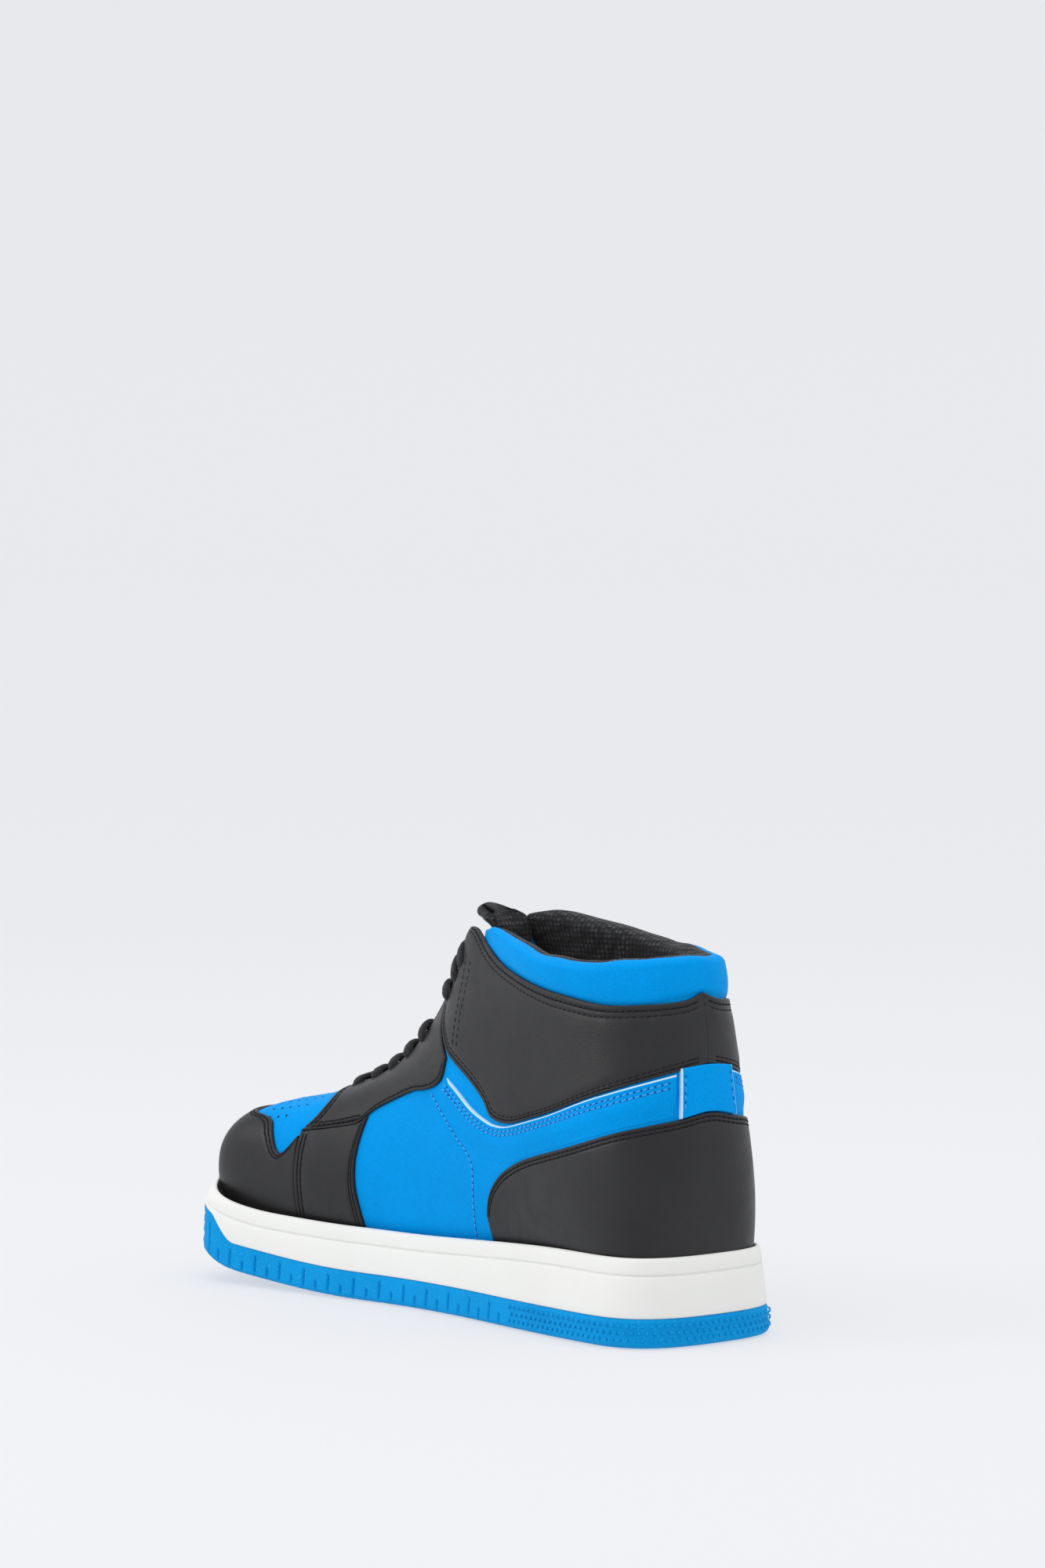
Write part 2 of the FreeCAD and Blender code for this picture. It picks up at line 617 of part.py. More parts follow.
def collar_reach(a):
    """Half thickness of the collar, thin at its two front ends."""
    f = min(max((min(a, 2.0 - a) - COLLAR_FRONT) / COLLAR_GROWTH, 0.0), 1.0)
    return lerp(size("collar_front_half"), -COLLAR_LINE[0] / 2.0, f * f * (3.0 - 2.0 * f))


def collar_point(a, t, depth):
    """Collar section: up the outside for t < 1, over the crest for t in 1..2, down for t > 2."""
    reach = collar_reach(a)
    if t < 1.0:
        return skin(a, lerp(COLLAR_SEAM, COLLAR_CREST, t), depth)
    if t > 2.0:
        return skin(a, lerp(COLLAR_CREST, COLLAR_HEM, t - 2.0), -2.0 * reach - depth)
    middle = skin(a, COLLAR_CREST, -reach)
    outward = skin(a, COLLAR_CREST, 0.0) - middle
    outward.normalize()
    turn = math.pi * (t - 1.0)
    rise = V(0, 0, 1) * ((reach + depth) * CREST_FLATTEN * math.sin(turn))
    return middle + outward * ((reach + depth) * math.cos(turn)) + rise


def collar_sheet(t0, t1, nt):
    """One wrap of the collar from side to side round the heel, between two section levels."""
    count = 33
    grids = []
    for depth in (-size("lining_thickness"), 0.0):
        grid = []
        for i in range(count):
            a = lerp(COLLAR_FRONT, 2.0 - COLLAR_FRONT, greville(count, i))
            grid.append([collar_point(a, lerp(t0, t1, greville(nt, j)), depth) for j in range(nt)])
        grids.append(grid)
    return thick_sheet(*grids)


feature("collar_outer", collar_sheet(0.0, 1.60, 14))
feature("collar_lining", collar_sheet(1.63, 3.0, 12))

# ------------------------------------------------------------------ tongue
# x, z of the outer skin on the centre plane, half width, radius across
TONGUE = [(84, 77, 15, 40), (68, 80.0, 19, 36), (50, 85.8, 21, 30), (33, 95.0, 21, 26),
          (18.5, 107.5, 20, 24), (4.5, 123.0, 18, 22), (-5, 136.5, 16, 21), (-10, 149, 13.0, 19),
          (-10, 158, 12.8, 19), (-7, 165, 14.0, 21), (-5, 170, 14.5, 23)]


def spine(f):
    """Centre-plane point, half width, radius and inward direction of the tongue at f."""
    at = f * (len(TONGUE) - 1)
    k = min(int(at), len(TONGUE) - 2)
    t = at - k
    rows = [TONGUE[min(max(k + d, 0), len(TONGUE) - 1)] for d in (-1, 0, 1, 2)]
    value, slope = [], []
    for p0, p1, p2, p3 in zip(*rows):
        m1, m2 = (p2 - p0) * 0.5, (p3 - p1) * 0.5
        value.append((2 * t ** 3 - 3 * t * t + 1) * p1 + (t ** 3 - 2 * t * t + t) * m1
                     + (3 * t * t - 2 * t ** 3) * p2 + (t ** 3 - t * t) * m2)
        slope.append((6 * t * t - 6 * t) * (p1 - p2) + (3 * t * t - 4 * t + 1) * m1
                     + (3 * t * t - 2 * t) * m2)
    inward = V(-slope[1], 0, slope[0])
    inward.normalize()
    return value, inward


TONGUE_OFFSET = 0.4


def tongue_point(f, across, depth):
    """A point at f along the tongue, across -1..1 over its width, depth below its outer skin."""
    (x, z, half, radius), inward = spine(f)
    turn = across * math.asin(half / radius)
    drop = radius - (radius - depth) * math.cos(turn)
    middle = V(x, centre_y(x) + TONGUE_OFFSET, z)
    return middle + inward * drop + V(0, (radius - depth) * math.sin(turn), 0)


def tongue_sheet(f0, f1, reach, low, high, nu=21, nv=9):
    """A layer of the tongue between two depths."""
    grids = []
    for depth in (low, high):
        grids.append([[tongue_point(lerp(f0, f1, greville(nu, i)),
                                    lerp(-reach, reach, greville(nv, j)), depth)
                       for j in range(nv)] for i in range(nu)])
    return thick_sheet(*grids)


SKIN = size("tongue_skin")
CORE = size("tongue_padding")
feature("tongue_outer", tongue_sheet(0.0, 1.0, 1.0, 0.0, SKIN))
feature("tongue_padding", tongue_sheet(0.10, 0.96, 0.88, SKIN + GAP, SKIN + GAP + CORE))
feature("tongue_lining",
        tongue_sheet(0.04, 1.0, 1.0, SKIN + 2 * GAP + CORE, 2 * SKIN + 2 * GAP + CORE))

# ------------------------------------------------------------------ lace
LACE = size("lace_radius")
INSIDE = LINE[0] - LACE - GAP
OUTSIDE = OVER[1] + LACE + 5 * GAP
TUCK = (0.012, -0.060)
CROSS_LIFT = 2.1
BAR_DROP = 0.5
TIP_LENGTH = 12.0
CORNER_SHARE = 0.45
NO_TURN = 0.02
radii = []


def edge_point(side, a, offset):
    """A point over or under the edge of the lace opening."""
    return skin(a, table(LACE_EDGE, a), offset, side)


def crossing_run(side, k, lift):
    """From inside the eyelet k on one side to inside eyelet k + 1 on the other."""
    (a0, v0), (a1, v1) = EYELETS[k], EYELETS[k + 1]
    low = edge_point(side, lerp(a0, a1, 0.25), INSIDE)
    high = edge_point(-side, lerp(a0, a1, 0.75), OUTSIDE + 5 * GAP)
    middle = (low + high) * 0.5 + (skin(0.5 * (a0 + a1), 1.0, lift) - skin(0.5 * (a0 + a1), 1.0, 0.0))
    return [low, middle, high, skin(a1, v1, OUTSIDE, -side), skin(a1, v1, INSIDE, -side)]


def strand(side, lift):
    """Half of the lace, crossing from side to side all the way up."""
    a, v = EYELETS[0]
    points = [skin(a, v, OUTSIDE, side), skin(a, v, INSIDE, side)]
    for k in range(len(EYELETS) - 1):
        points += crossing_run(side, k, lift)
        side = -side
    a, v = EYELETS[-1]
    points.append(skin(a + TUCK[0], v + TUCK[1], INSIDE, side))
    return points


def rounded(points):
    """Lines and arcs through the corner points."""
    edges = []
    start = points[0]
    for before, corner, after in zip(points, points[1:], points[2:]):
        back, ahead = before - corner, after - corner
        run = min(back.Length, ahead.Length)
        back.normalize()
        ahead.normalize()
        turn = math.pi - back.getAngle(ahead)
        if turn < NO_TURN:
            continue
        trim = CORNER_SHARE * run
        radius = trim / math.tan(turn / 2.0)
        radii.append(radius)
        first, last = corner + back * trim, corner + ahead * trim
        bisector = back + ahead
        bisector.normalize()
        centre = corner + bisector * (radius / math.cos(turn / 2.0))
        middle = centre - bisector * radius
        edges.append(Part.makeLine(start, first))
        edges.append(Part.Arc(first, middle, last).toShape())
        start = last
    edges.append(Part.makeLine(start, points[-1]))
    return Part.Wire(edges)


def tube(points, radius):
    """Round solid along the rounded route, and the route's length."""
    path = rounded(points)
    ring = Part.makeCircle(radius, points[0], points[1] - points[0])
    return path.makePipeShell([Part.Wire([ring])], True, True), path.Length


bar_a, bar_v = EYELETS[0]
bar = [edge_point(-1, bar_a, OUTSIDE), skin(bar_a, 1.0, OUTSIDE - BAR_DROP), edge_point(1, bar_a, OUTSIDE)]
LACE_POINTS = strand(-1, -CROSS_LIFT)[::-1] + bar + strand(1, CROSS_LIFT)
lace_shape, lace_length = tube(LACE_POINTS, LACE)
feature("lace", lace_shape)
print("lace length along the route: %.0f mm" % lace_length)
print("lace bend radii: %s mm" % ", ".join("%.1f" % r for r in sorted(radii)))
print("lace volume %.0f mm3, section times length %.0f mm3"
      % (lace_shape.Volume, math.pi * LACE ** 2 * lace_length))
tips = []
for end, before in ((LACE_POINTS[0], LACE_POINTS[1]), (LACE_POINTS[-1], LACE_POINTS[-2])):
    tips.append(Part.makeCylinder(LACE, TIP_LENGTH, end + (end - before).normalize() * 0.1, end - before))
feature("lace_tips", Part.makeCompound(tips))

# ------------------------------------------------------------------ checks and files
doc.recompute()
NODES = [item for item in doc.Objects
         if item.isDerivedFrom("Part::Feature") and not item.isDerivedFrom("Sketcher::SketchObject")
         and not item.Label.endswith(("_pad", "_trim"))
         or item.TypeId == "PartDesign::Body"]
for item in doc.Objects:
    if "Invalid" in item.State or "Error" in item.State:
        raise RuntimeError("%s is %s" % (item.Label, item.State))
for item in NODES:
    if item.Shape.isNull() or not item.Shape.isValid() or not item.Shape.Solids:
        raise RuntimeError("%s has no valid solid" % item.Label)
    item.Shape.exportStep("parts/%s.step" % item.Label)
print("%d nodes written" % len(NODES))
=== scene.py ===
import bpy
import math
import numpy as np
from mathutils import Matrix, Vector


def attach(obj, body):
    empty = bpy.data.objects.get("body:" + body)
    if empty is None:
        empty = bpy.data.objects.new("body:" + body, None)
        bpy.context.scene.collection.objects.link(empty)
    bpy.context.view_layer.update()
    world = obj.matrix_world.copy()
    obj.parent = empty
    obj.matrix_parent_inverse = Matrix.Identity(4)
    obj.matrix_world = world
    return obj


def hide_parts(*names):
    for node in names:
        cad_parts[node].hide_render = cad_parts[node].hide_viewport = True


# The shoe is worked out in millimetres, as in the CAD, and MM turns it into metres; the studio is in metres.
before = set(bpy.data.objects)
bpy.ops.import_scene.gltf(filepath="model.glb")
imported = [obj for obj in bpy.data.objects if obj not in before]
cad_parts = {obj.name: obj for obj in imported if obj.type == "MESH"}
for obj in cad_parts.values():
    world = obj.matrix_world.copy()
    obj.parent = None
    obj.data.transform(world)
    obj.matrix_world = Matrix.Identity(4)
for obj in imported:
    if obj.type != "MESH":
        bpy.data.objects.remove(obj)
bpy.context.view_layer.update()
MM = 0.001

# ---- the last surface (mm)
LAST = np.array([
    (136.3, 136.3, 0, 30, 1.0, 0, 0, 0, 0, 0, 0),
    (136.3, 137.3, 4, 56, 1.0, 17.5, 23.5, 25.5, 23.5, 12, 0),
    (129, 127, 3, 77, 1.0, 28, 35, 37, 34, 16, 0),
    (106, 100, 0, 81, 1.0, 34, 41, 42, 36, 17, 0),
    (72, 68, 0, 88, 1.0, 35, 43, 43, 36, 18, 0),
    (38, 44, 0, 99, 0.8, 30, 39, 39, 33, 20, 5),
    (4, 22, 0, 119, 0.4, 25, 34, 36, 33, 22, 10),
    (-30, 2, 0, 145, 0.1, 25, 33.5, 36, 34, 26, 11),
    (-64, -6, 0, 169, 0.0, 27, 35, 37, 35, 28, 10),
    (-98, -72, 0, 155, 0.0, 29, 37, 39, 37, 34, 36),
    (-128, -112.5, -3, 157, 0.0, 32.7, 40.1, 40.3, 36, 32.5, 30.5),
    (-140.3, -133.5, -4, 158, 0.0, 23, 27, 25.5, 20, 16.5, 15.5),
    (-140.3, -133.5, -4, 158, 0.0, 0, 0, 0, 0, 0, 0)], float)
DOME_LEVELS = np.array((0.0, 0.32, 0.66, 0.93, 1.0, 1.0))
WALL_LEVELS = np.array((0.0, 0.18, 0.38, 0.60, 0.82, 1.0))
HALF = 148.0
FLAT_END = 30.0
TOE_SPRING = 11.5
FEATHER_Z = 15.5
CENTRE = ((-150, -100, -50, 0, 40, 75, 105, 130, 150), (0, 0, -2, -3, -4, -4, 0, 8, 12))
SHIFT = 0.5
A_SCALE = 2.1


def smooth(f):
    f = np.clip(f, 0.0, 1.0)
    return f * f * (3.0 - 2.0 * f)


def ground(x):
    return TOE_SPRING * (np.maximum(0.0, x - FLAT_END) / (HALF - FLAT_END)) ** 2


def centre_y(x):
    return SHIFT + sum(np.interp(x + k, *CENTRE) for k in (-12, -6, 0, 6, 12)) / 5.0


def last_net():
    low, top, bulge, height, dome = LAST[:, :5].T[:, :, None]
    f = WALL_LEVELS + (DOME_LEVELS - WALL_LEVELS) * dome
    foot = FEATHER_Z + ground(low)
    x = low + (top - low) * f + bulge * 4 * f * (1 - f)
    return np.stack([x, LAST[:, 5:], foot + (height - foot) * f], -1)


NET = last_net()
NUDGE = 0.004


def cubic(count, f):
    """Index of the first pole and the four clamped uniform cubic weights."""
    spans = count - 3
    knots = np.array([0] * 3 + list(range(spans + 1)) + [spans] * 3, float)
    u = np.clip(f, 0.0, 1.0) * spans
    i = np.minimum(u.astype(int), spans - 1) + 3
    w = [np.ones_like(u)] + [np.zeros_like(u)] * 3
    for d in range(1, 4):
        saved = np.zeros_like(u)
        for r in range(d):
            right = knots[i + r + 1] - u
            left = u - knots[i + 1 - d + r]
            part = w[r] / (right + left)
            w[r] = saved + right * part
            saved = left * part
        w[d] = saved
    return i - 3, w


def surface(side, a, v):
    """Point on the last: a 0 toe .. 1 back, v 0 feather .. 1 topline."""
    i, wa = cubic(len(NET), a)
    j, wv = cubic(6, v)
    p = 0.0
    for m in range(4):
        for n in range(4):
            p = p + (wa[m] * wv[n])[..., None] * NET[i + m, j + n]
    return np.stack([p[..., 0], centre_y(p[..., 0]) + side * p[..., 1], p[..., 2]], -1)


def unit(v):
    return v / np.maximum(np.linalg.norm(v, axis=-1, keepdims=True), 1e-9)


def power(wave, exponent):
    """A sine or cosine squared off or pinched, with its sign kept."""
    return np.sign(wave) * np.abs(wave) ** exponent


def arc(points):
    """Length along a line of points, from its start."""
    return np.r_[0, np.cumsum(np.linalg.norm(np.diff(points, axis=0), axis=1))]


def at_length(at, run, points):
    """The line's points at the lengths wanted."""
    return np.stack([np.interp(at, run, column) for column in points.T], 1)


def hermite(p0, p1, p2, p3, t):
    """Catmull-Rom span from p1 to p2."""
    m1, m2 = (p2 - p0) / 2, (p3 - p1) / 2
    return ((2 * t ** 3 - 3 * t * t + 1) * p1 + (t ** 3 - 2 * t * t + t) * m1
            + (3 * t * t - 2 * t ** 3) * p2 + (t ** 3 - t * t) * m2)


def frame_at(a, v, mirror=1):
    """Point and outward normal; v past 1 or a past 1 carries on over the other side."""
    a, v = np.broadcast_arrays(np.asarray(a, float), np.asarray(v, float))
    side = np.where(a > 1, -1.0, 1.0) * np.where(v > 1, -1.0, 1.0) * mirror
    a0, v0 = np.where(a > 1, 2 - a, a), np.where(v > 1, 2 - v, v)
    here = surface(side, a0, v0)
    sa, sv = np.where(a0 < 0.5, NUDGE, -NUDGE), np.where(v0 < 0.5, NUDGE, -NUDGE)
    da = (surface(side, a0 + sa, v0) - here) / sa[..., None]
    dv = (surface(side, a0, v0 + sv) - here) / sv[..., None]
    return here, unit(np.cross(da, dv) * side[..., None])


def skin(a, v, offset, mirror=1):
    p, n = frame_at(a, v, mirror)
    return p + n * np.asarray(offset, float)[..., None]


# ---- curves in (a, v)
def spline(points, f):
    """Catmull-Rom through given points, spaced by chord length."""
    pts = np.array(points, float)
    scale = np.array([A_SCALE, 1.0])
    chord = np.r_[0, np.cumsum(np.linalg.norm(np.diff(pts, axis=0) * scale, axis=1))]
    at = np.asarray(f, float) * chord[-1]
    k = np.clip(np.searchsorted(chord, at, side="left") - 1, 0, len(pts) - 2)
    t = ((at - chord[k]) / (chord[k + 1] - chord[k]))[..., None]
    ext = np.vstack([2 * pts[0] - pts[1], pts, 2 * pts[-1] - pts[-2]])
    return hermite(ext[k], ext[k + 1], ext[k + 2], ext[k + 3], t)


def coons(bottom, top, left=None, right=None):
    """Map of the unit square onto a four-sided outline in (a, v)."""
    left = left or [bottom[0], top[0]]
    right = right or [bottom[-1], top[-1]]
    b0, b1, t0, t1 = (np.array(p, float) for p in (bottom[0], bottom[-1], top[0], top[-1]))

    def at(s, t):
        s, t = np.broadcast_arrays(np.asarray(s, float), np.asarray(t, float))
        S, T = s[..., None], t[..., None]
        return ((1 - T) * spline(bottom, s) + T * spline(top, s) + (1 - S) * spline(left, t)
                + S * spline(right, t) - (1 - S) * (1 - T) * b0 - S * (1 - T) * b1
                - (1 - S) * T * t0 - S * T * t1)
    return at


def both_ways(points, axis):
    """Carry a run of points over the centre line so that it ends on the other side."""
    back = []
    for p in reversed(points[:-1]):
        q = list(p)
        q[axis] = 2.0 - q[axis]
        back.append(tuple(q))
    return points + back


# ---- meshes
def mesh_object(name, verts, faces, body, mats, material_index=None):
    """A smooth-shaded piece from points in mm, on its body and materials."""
    mesh = bpy.data.meshes.new(name)
    mesh.from_pydata((np.asarray(verts) * MM).tolist(), [], [list(f) for f in faces])
    mesh.validate()
    for m in mats if isinstance(mats, (list, tuple)) else [mats]:
        mesh.materials.append(m)
    if material_index is not None:
        mesh.polygons.foreach_set("material_index", np.asarray(material_index, np.int32))
    mesh.polygons.foreach_set("use_smooth", np.ones(len(mesh.polygons), bool))
    obj = bpy.data.objects.new(name, mesh)
    bpy.context.scene.collection.objects.link(obj)
    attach(obj, body)
    return obj


def grid_faces(nu, nv, wrap_u=False, wrap_v=False, start=0):
    """Quads of an nu by nv grid of points, closed round either way if asked."""
    i = np.arange(nu if wrap_u else nu - 1)
    j = np.arange(nv if wrap_v else nv - 1)
    I, J = np.meshgrid(i, j, indexing="ij")
    a = I * nv + J
    b = ((I + 1) % nu) * nv + J
    c = ((I + 1) % nu) * nv + (J + 1) % nv
    d = I * nv + (J + 1) % nv
    return (np.stack([a, b, c, d], -1).reshape(-1, 4) + start)


def closed_tube(nu, nv):
    """A tube of nu rings of nv points, with a face at each end, first end first."""
    ends = [list(range(nv))[::-1], [(nu - 1) * nv + k for k in range(nv)]]
    return grid_faces(nu, nv, wrap_v=True).tolist() + ends


# distances from a panel's edge at which its grid has lines: the rounded edge, then the stitch rows
EDGE = [0.0, 0.0, 0.12, 0.35, 0.7, 1.2]
SEAM = [1.7, 2.0, 2.3, 2.9, 3.6, 3.95, 4.3, 5.0, 6.2]
PLAIN = [2.4]
SAMPLES = 17
SIDES = ("bottom", "top", "left", "right")
EDGE_ROUND = 0.7
FEATHER_WIDTH = 9.0
FEATHER_LEFT = 0.12
PUFF_WIDTH = 12.0
SEAM_WIDTH = 0.55
SEAM_DEPTH = 0.34
THREAD_SINK = 0.16
SEAM_MARGIN = 3.0
THREADS = []


def lengths(shape, mirror, along):
    """3-D length of the panel along t at even steps of s, or along s at even steps of t."""
    steps = np.linspace(0, 1, SAMPLES)
    held, run = np.meshgrid(steps, np.linspace(0, 1, 25), indexing="ij")
    s, t = (held, run) if along == "t" else (run, held)
    av = shape(s, t)
    p = skin(av[..., 0], av[..., 1], np.ones(s.shape), mirror)
    return steps, np.linalg.norm(np.diff(p, axis=1), axis=-1).sum(1)


def rows(lo, hi, total, count):
    """Distances from the start for each grid line: near-edge lines, then an even middle."""
    lo, hi = np.array(lo), np.array(hi)
    room = np.minimum(1.0, 0.46 * total / max(lo[-1], hi[-1]))[..., None]
    mid = np.linspace(0, 1, count + 2)[1:-1]
    a, b = lo[-1] * room, total[..., None] - hi[-1] * room
    return np.concatenate([lo * room, a + (b - a) * mid, total[..., None] - (hi * room)[..., ::-1]], -1)


def seam_dip(d, seams):
    """The leather pulled down along each row of stitches."""
    dip = 0.0
    for at in seams:
        dip = dip - SEAM_DEPTH * np.exp(-((d - at) / SEAM_WIDTH) ** 2)
    return dip


def seam_line(side, d, ks, L, kt, W):
    """Where a row of stitches d from one side of the panel runs, in (s, t), clear of the corners."""
    e = np.linspace(0.0, 1.0, 240)
    if side in ("bottom", "top"):
        s, t = e, d / np.interp(e, ks, L)
        t = t if side == "bottom" else 1 - t
        cut = np.clip(SEAM_MARGIN / np.interp(t, kt, W), 0, 0.4)
    else:
        s, t = d / np.interp(e, kt, W), e
        s = s if side == "left" else 1 - s
        cut = np.clip(SEAM_MARGIN / np.interp(s, ks, L), 0, 0.4)
    keep = (e > cut) & (e < 1 - cut)
    return s[keep], t[keep]


def panel(name, outline, high, mat, slot, mirror=1, seams=None, low=-1.0, step=2.6, body="shoe",
          replace=None, puff=0.0, edge_drop=0.45, raw=None, raw_edges=(), butt=(), feather=(), warp=None):
    """A panel with rounded edges, lying on the last.

    seams gives the stitch rows' distances from each side; low is the height of the hidden rim; butt sides
    are not rounded; feather sides thin out into what lies under them; raw_edges show the raw material.
    """
    shape = coons(**outline)
    seams = seams or {}
    ks, L = lengths(shape, mirror, "t")
    kt, W = lengths(shape, mirror, "s")
    lists = {k: EDGE + (SEAM if seams.get(k) else PLAIN) for k in SIDES}
    nt = max(3, int(L.mean() / step))
    ns = max(4, int(W.max() / step))
    # ds: distances along s at each t; dt: distances along t at each s
    base_t = np.linspace(0, 1, len(lists["bottom"]) + len(lists["top"]) + nt)
    W_t = np.interp(base_t, kt, W)
    ds = rows(lists["left"], lists["right"], W_t, ns).T
    s = ds / W_t[None, :]
    L_s = np.interp(s, ks, L)
    columns = range(L_s.shape[1])
    dt = np.stack([rows(lists["bottom"], lists["top"], L_s[:, j], nt)[:, j] for j in columns], 1)
    t = dt / L_s
    near = {"bottom": dt, "top": L_s - dt, "left": ds, "right": W_t[None, :] - ds}
    h = np.full(s.shape, float(high))
    closest = np.full(s.shape, FEATHER_WIDTH)
    for k, d in near.items():
        if k not in butt:
            closest = np.minimum(closest, d)
        h += seam_dip(d, seams.get(k, ()))
        if k in feather:
            h -= (high - FEATHER_LEFT) * (1.0 - smooth(d / FEATHER_WIDTH))
    h -= edge_drop * np.clip(1.0 - closest / EDGE_ROUND, 0, 1) ** 2
    h += puff * smooth(closest / PUFF_WIDTH)
    ring = np.zeros(s.shape, bool)
    ring[0], ring[-1], ring[:, 0], ring[:, -1] = True, True, True, True
    h[ring] = low
    av = shape(s, t)
    p = skin(av[..., 0], av[..., 1], h, mirror)
    if warp:
        p = p + warp(av)
    nu, nv = s.shape
    faces = grid_faces(nu, nv)
    index = np.zeros(len(faces), int)
    if raw is not None:
        ii, jj = np.divmod(np.arange(len(faces)), nv - 1)
        for k in raw_edges:
            strips = {"bottom": jj < 4, "top": jj >= nv - 5, "left": ii < 4, "right": ii >= nu - 5}
            index[strips[k]] = 1
    if mirror < 0:
        faces = faces[:, ::-1]
    obj = mesh_object(name, p.reshape(-1, 3), faces, body, [mat] + ([raw] if raw else []), index)
    if replace:
        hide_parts(*replace)
    for k, at in seams.items():
        for d in at:
            line = shape(*seam_line(k, d, ks, L, kt, W))
            THREADS.append((line, high - THREAD_SINK, mirror, "blue" if "blue" in slot else "black", warp))
    return obj


# ---- materials
def shade(name, colour, rough=0.5, spec=0.5, **sockets):
    """A new material, its node tree, its shader and the object coordinates that its textures use."""
    mat = bpy.data.materials.new(name)
    mat.use_nodes = True
    tree = mat.node_tree
    bsdf = tree.nodes["Principled BSDF"]
    bsdf.inputs["Base Color"].default_value = (*colour, 1)
    bsdf.inputs["Roughness"].default_value = rough
    bsdf.inputs["Specular IOR Level"].default_value = spec
    for key, value in sockets.items():
        bsdf.inputs[key.replace("_", " ")].default_value = value
    coords = tree.nodes.new("ShaderNodeTexCoord")
    return mat, tree, bsdf, coords.outputs["Object"]


def node(tree, kind, inputs=None, **props):
    """A node with its inputs linked to sockets or set to values."""
    n = tree.nodes.new(kind)
    for k, v in props.items():
        setattr(n, k, v)
    for k, v in (inputs or {}).items():
        if hasattr(v, "links") or hasattr(v, "is_linked"):
            tree.links.new(v, n.inputs[k])
        else:
            n.inputs[k].default_value = v
    return n


def ramp(tree, source, stops):
    """Colour ramp over a source, with (position, colour) stops."""
    r = tree.nodes.new("ShaderNodeValToRGB")
    r.color_ramp.elements[0].position, r.color_ramp.elements[1].position = stops[0][0], stops[-1][0]
    r.color_ramp.elements[0].color, r.color_ramp.elements[1].color = (*stops[0][1], 1), (*stops[-1][1], 1)
    for pos, col in stops[1:-1]:
        r.color_ramp.elements.new(pos).color = (*col, 1)
    tree.links.new(source, r.inputs["Fac"])
    return r.outputs["Color"]


def noise(tree, at, scale, detail, **more):
    inputs = {"Vector": at, "Scale": scale, "Detail": detail, **more}
    return node(tree, "ShaderNodeTexNoise", inputs).outputs["Fac"]


def cells(tree, at, scale, randomness):
    inputs = {"Vector": at, "Scale": scale, "Randomness": randomness}
    return node(tree, "ShaderNodeTexVoronoi", inputs).outputs["Distance"]


def bump(tree, height, strength, distance, normal=None, invert=False):
    """Relief of a height, on top of another relief's normal if one is given."""
    inputs = {"Height": height, "Strength": strength, "Distance": distance}
    if normal is not None:
        inputs["Normal"] = normal
    return node(tree, "ShaderNodeBump", inputs, invert=invert).outputs["Normal"]


def leather(name, colour, dark, light, rough, grain, wrinkle, spec):
    """Coated leather: fine pebble grain, slow tone drift, faint creases."""
    mat, tree, bsdf, at = shade(name, colour, rough, spec)
    drift = noise(tree, at, 22.0, 4.0, Roughness=0.6)
    pebble = cells(tree, at, 1150.0, 1.0)
    fine = noise(tree, at, 2400.0, 3.0)
    crease = noise(tree, at, 60.0, 5.0, Distortion=1.4)
    mix = node(tree, "ShaderNodeMix", {"Factor": 1.0}, data_type="RGBA", blend_type="MULTIPLY")
    tree.links.new(ramp(tree, drift, [(0.30, dark), (0.52, colour), (0.72, light)]), mix.inputs["A"])
    # the pebble cells darken towards their edges: painted shade in the hollows between the raised pebbles
    tree.links.new(ramp(tree, pebble, [(0.0, (1, 1, 1)), (0.75, (0.86, 0.86, 0.86))]), mix.inputs["B"])
    tree.links.new(mix.outputs["Result"], bsdf.inputs["Base Color"])
    worn = node(tree, "ShaderNodeMapRange", {"Value": crease, "From Min": 0.3, "From Max": 0.7,
                                             "To Min": rough - 0.06, "To Max": rough + 0.07})
    tree.links.new(worn.outputs["Result"], bsdf.inputs["Roughness"])
    relief = bump(tree, pebble, grain, 0.00012, invert=True)
    relief = bump(tree, fine, grain * 0.8, 0.00006, relief)
    tree.links.new(bump(tree, crease, wrinkle, 0.0006, relief), bsdf.inputs["Normal"])
    return mat


def woven(name, colour, light, pitch, rough=0.9, depth=0.0004):
    """Knitted mesh: round loops about one pitch apart, with fuzz on the yarn."""
    mat, tree, bsdf, at = shade(name, colour, rough, 0.25, Sheen_Weight=0.15)
    loops = cells(tree, at, 1.0 / pitch, 0.25)
    # painted light: the loop centres are painted lighter as highlight and the gaps between loops darker as
    # shadow
    shadow = tuple(c * 0.25 for c in colour)
    tone = ramp(tree, loops, [(0.05, light), (0.35, colour), (0.75, shadow)])
    tree.links.new(tone, bsdf.inputs["Base Color"])
    relief = bump(tree, loops, 0.9, depth, invert=True)
    relief = bump(tree, noise(tree, at, 5200.0, 2.0), 0.4, 0.0001, relief)
    tree.links.new(relief, bsdf.inputs["Normal"])
    return mat


def moulded(name, colour, light, rough, speck=None, relief=0.25, dirt=0.93, spec=0.3):
    """Moulded rubber or foam: fine texture, faint soiling, optional speckle."""
    mat, tree, bsdf, at = shade(name, colour, rough, spec)
    soiled = tuple(c * dirt for c in colour)
    drift = noise(tree, at, 30.0, 5.0, Roughness=0.65)
    tone = ramp(tree, drift, [(0.28, soiled), (0.5, colour), (0.75, light)])
    if speck:
        dots = noise(tree, at, 1500.0, 2.0, Roughness=0.5)
        mix = node(tree, "ShaderNodeMix", {"B": (*speck, 1)}, data_type="RGBA")
        tree.links.new(ramp(tree, dots, [(0.60, (0, 0, 0)), (0.70, (1, 1, 1))]), mix.inputs["Factor"])
        tree.links.new(tone, mix.inputs["A"])
        tone = mix.outputs["Result"]
    tree.links.new(tone, bsdf.inputs["Base Color"])
    tree.links.new(bump(tree, noise(tree, at, 900.0, 4.0), relief, 0.00025), bsdf.inputs["Normal"])
    return mat


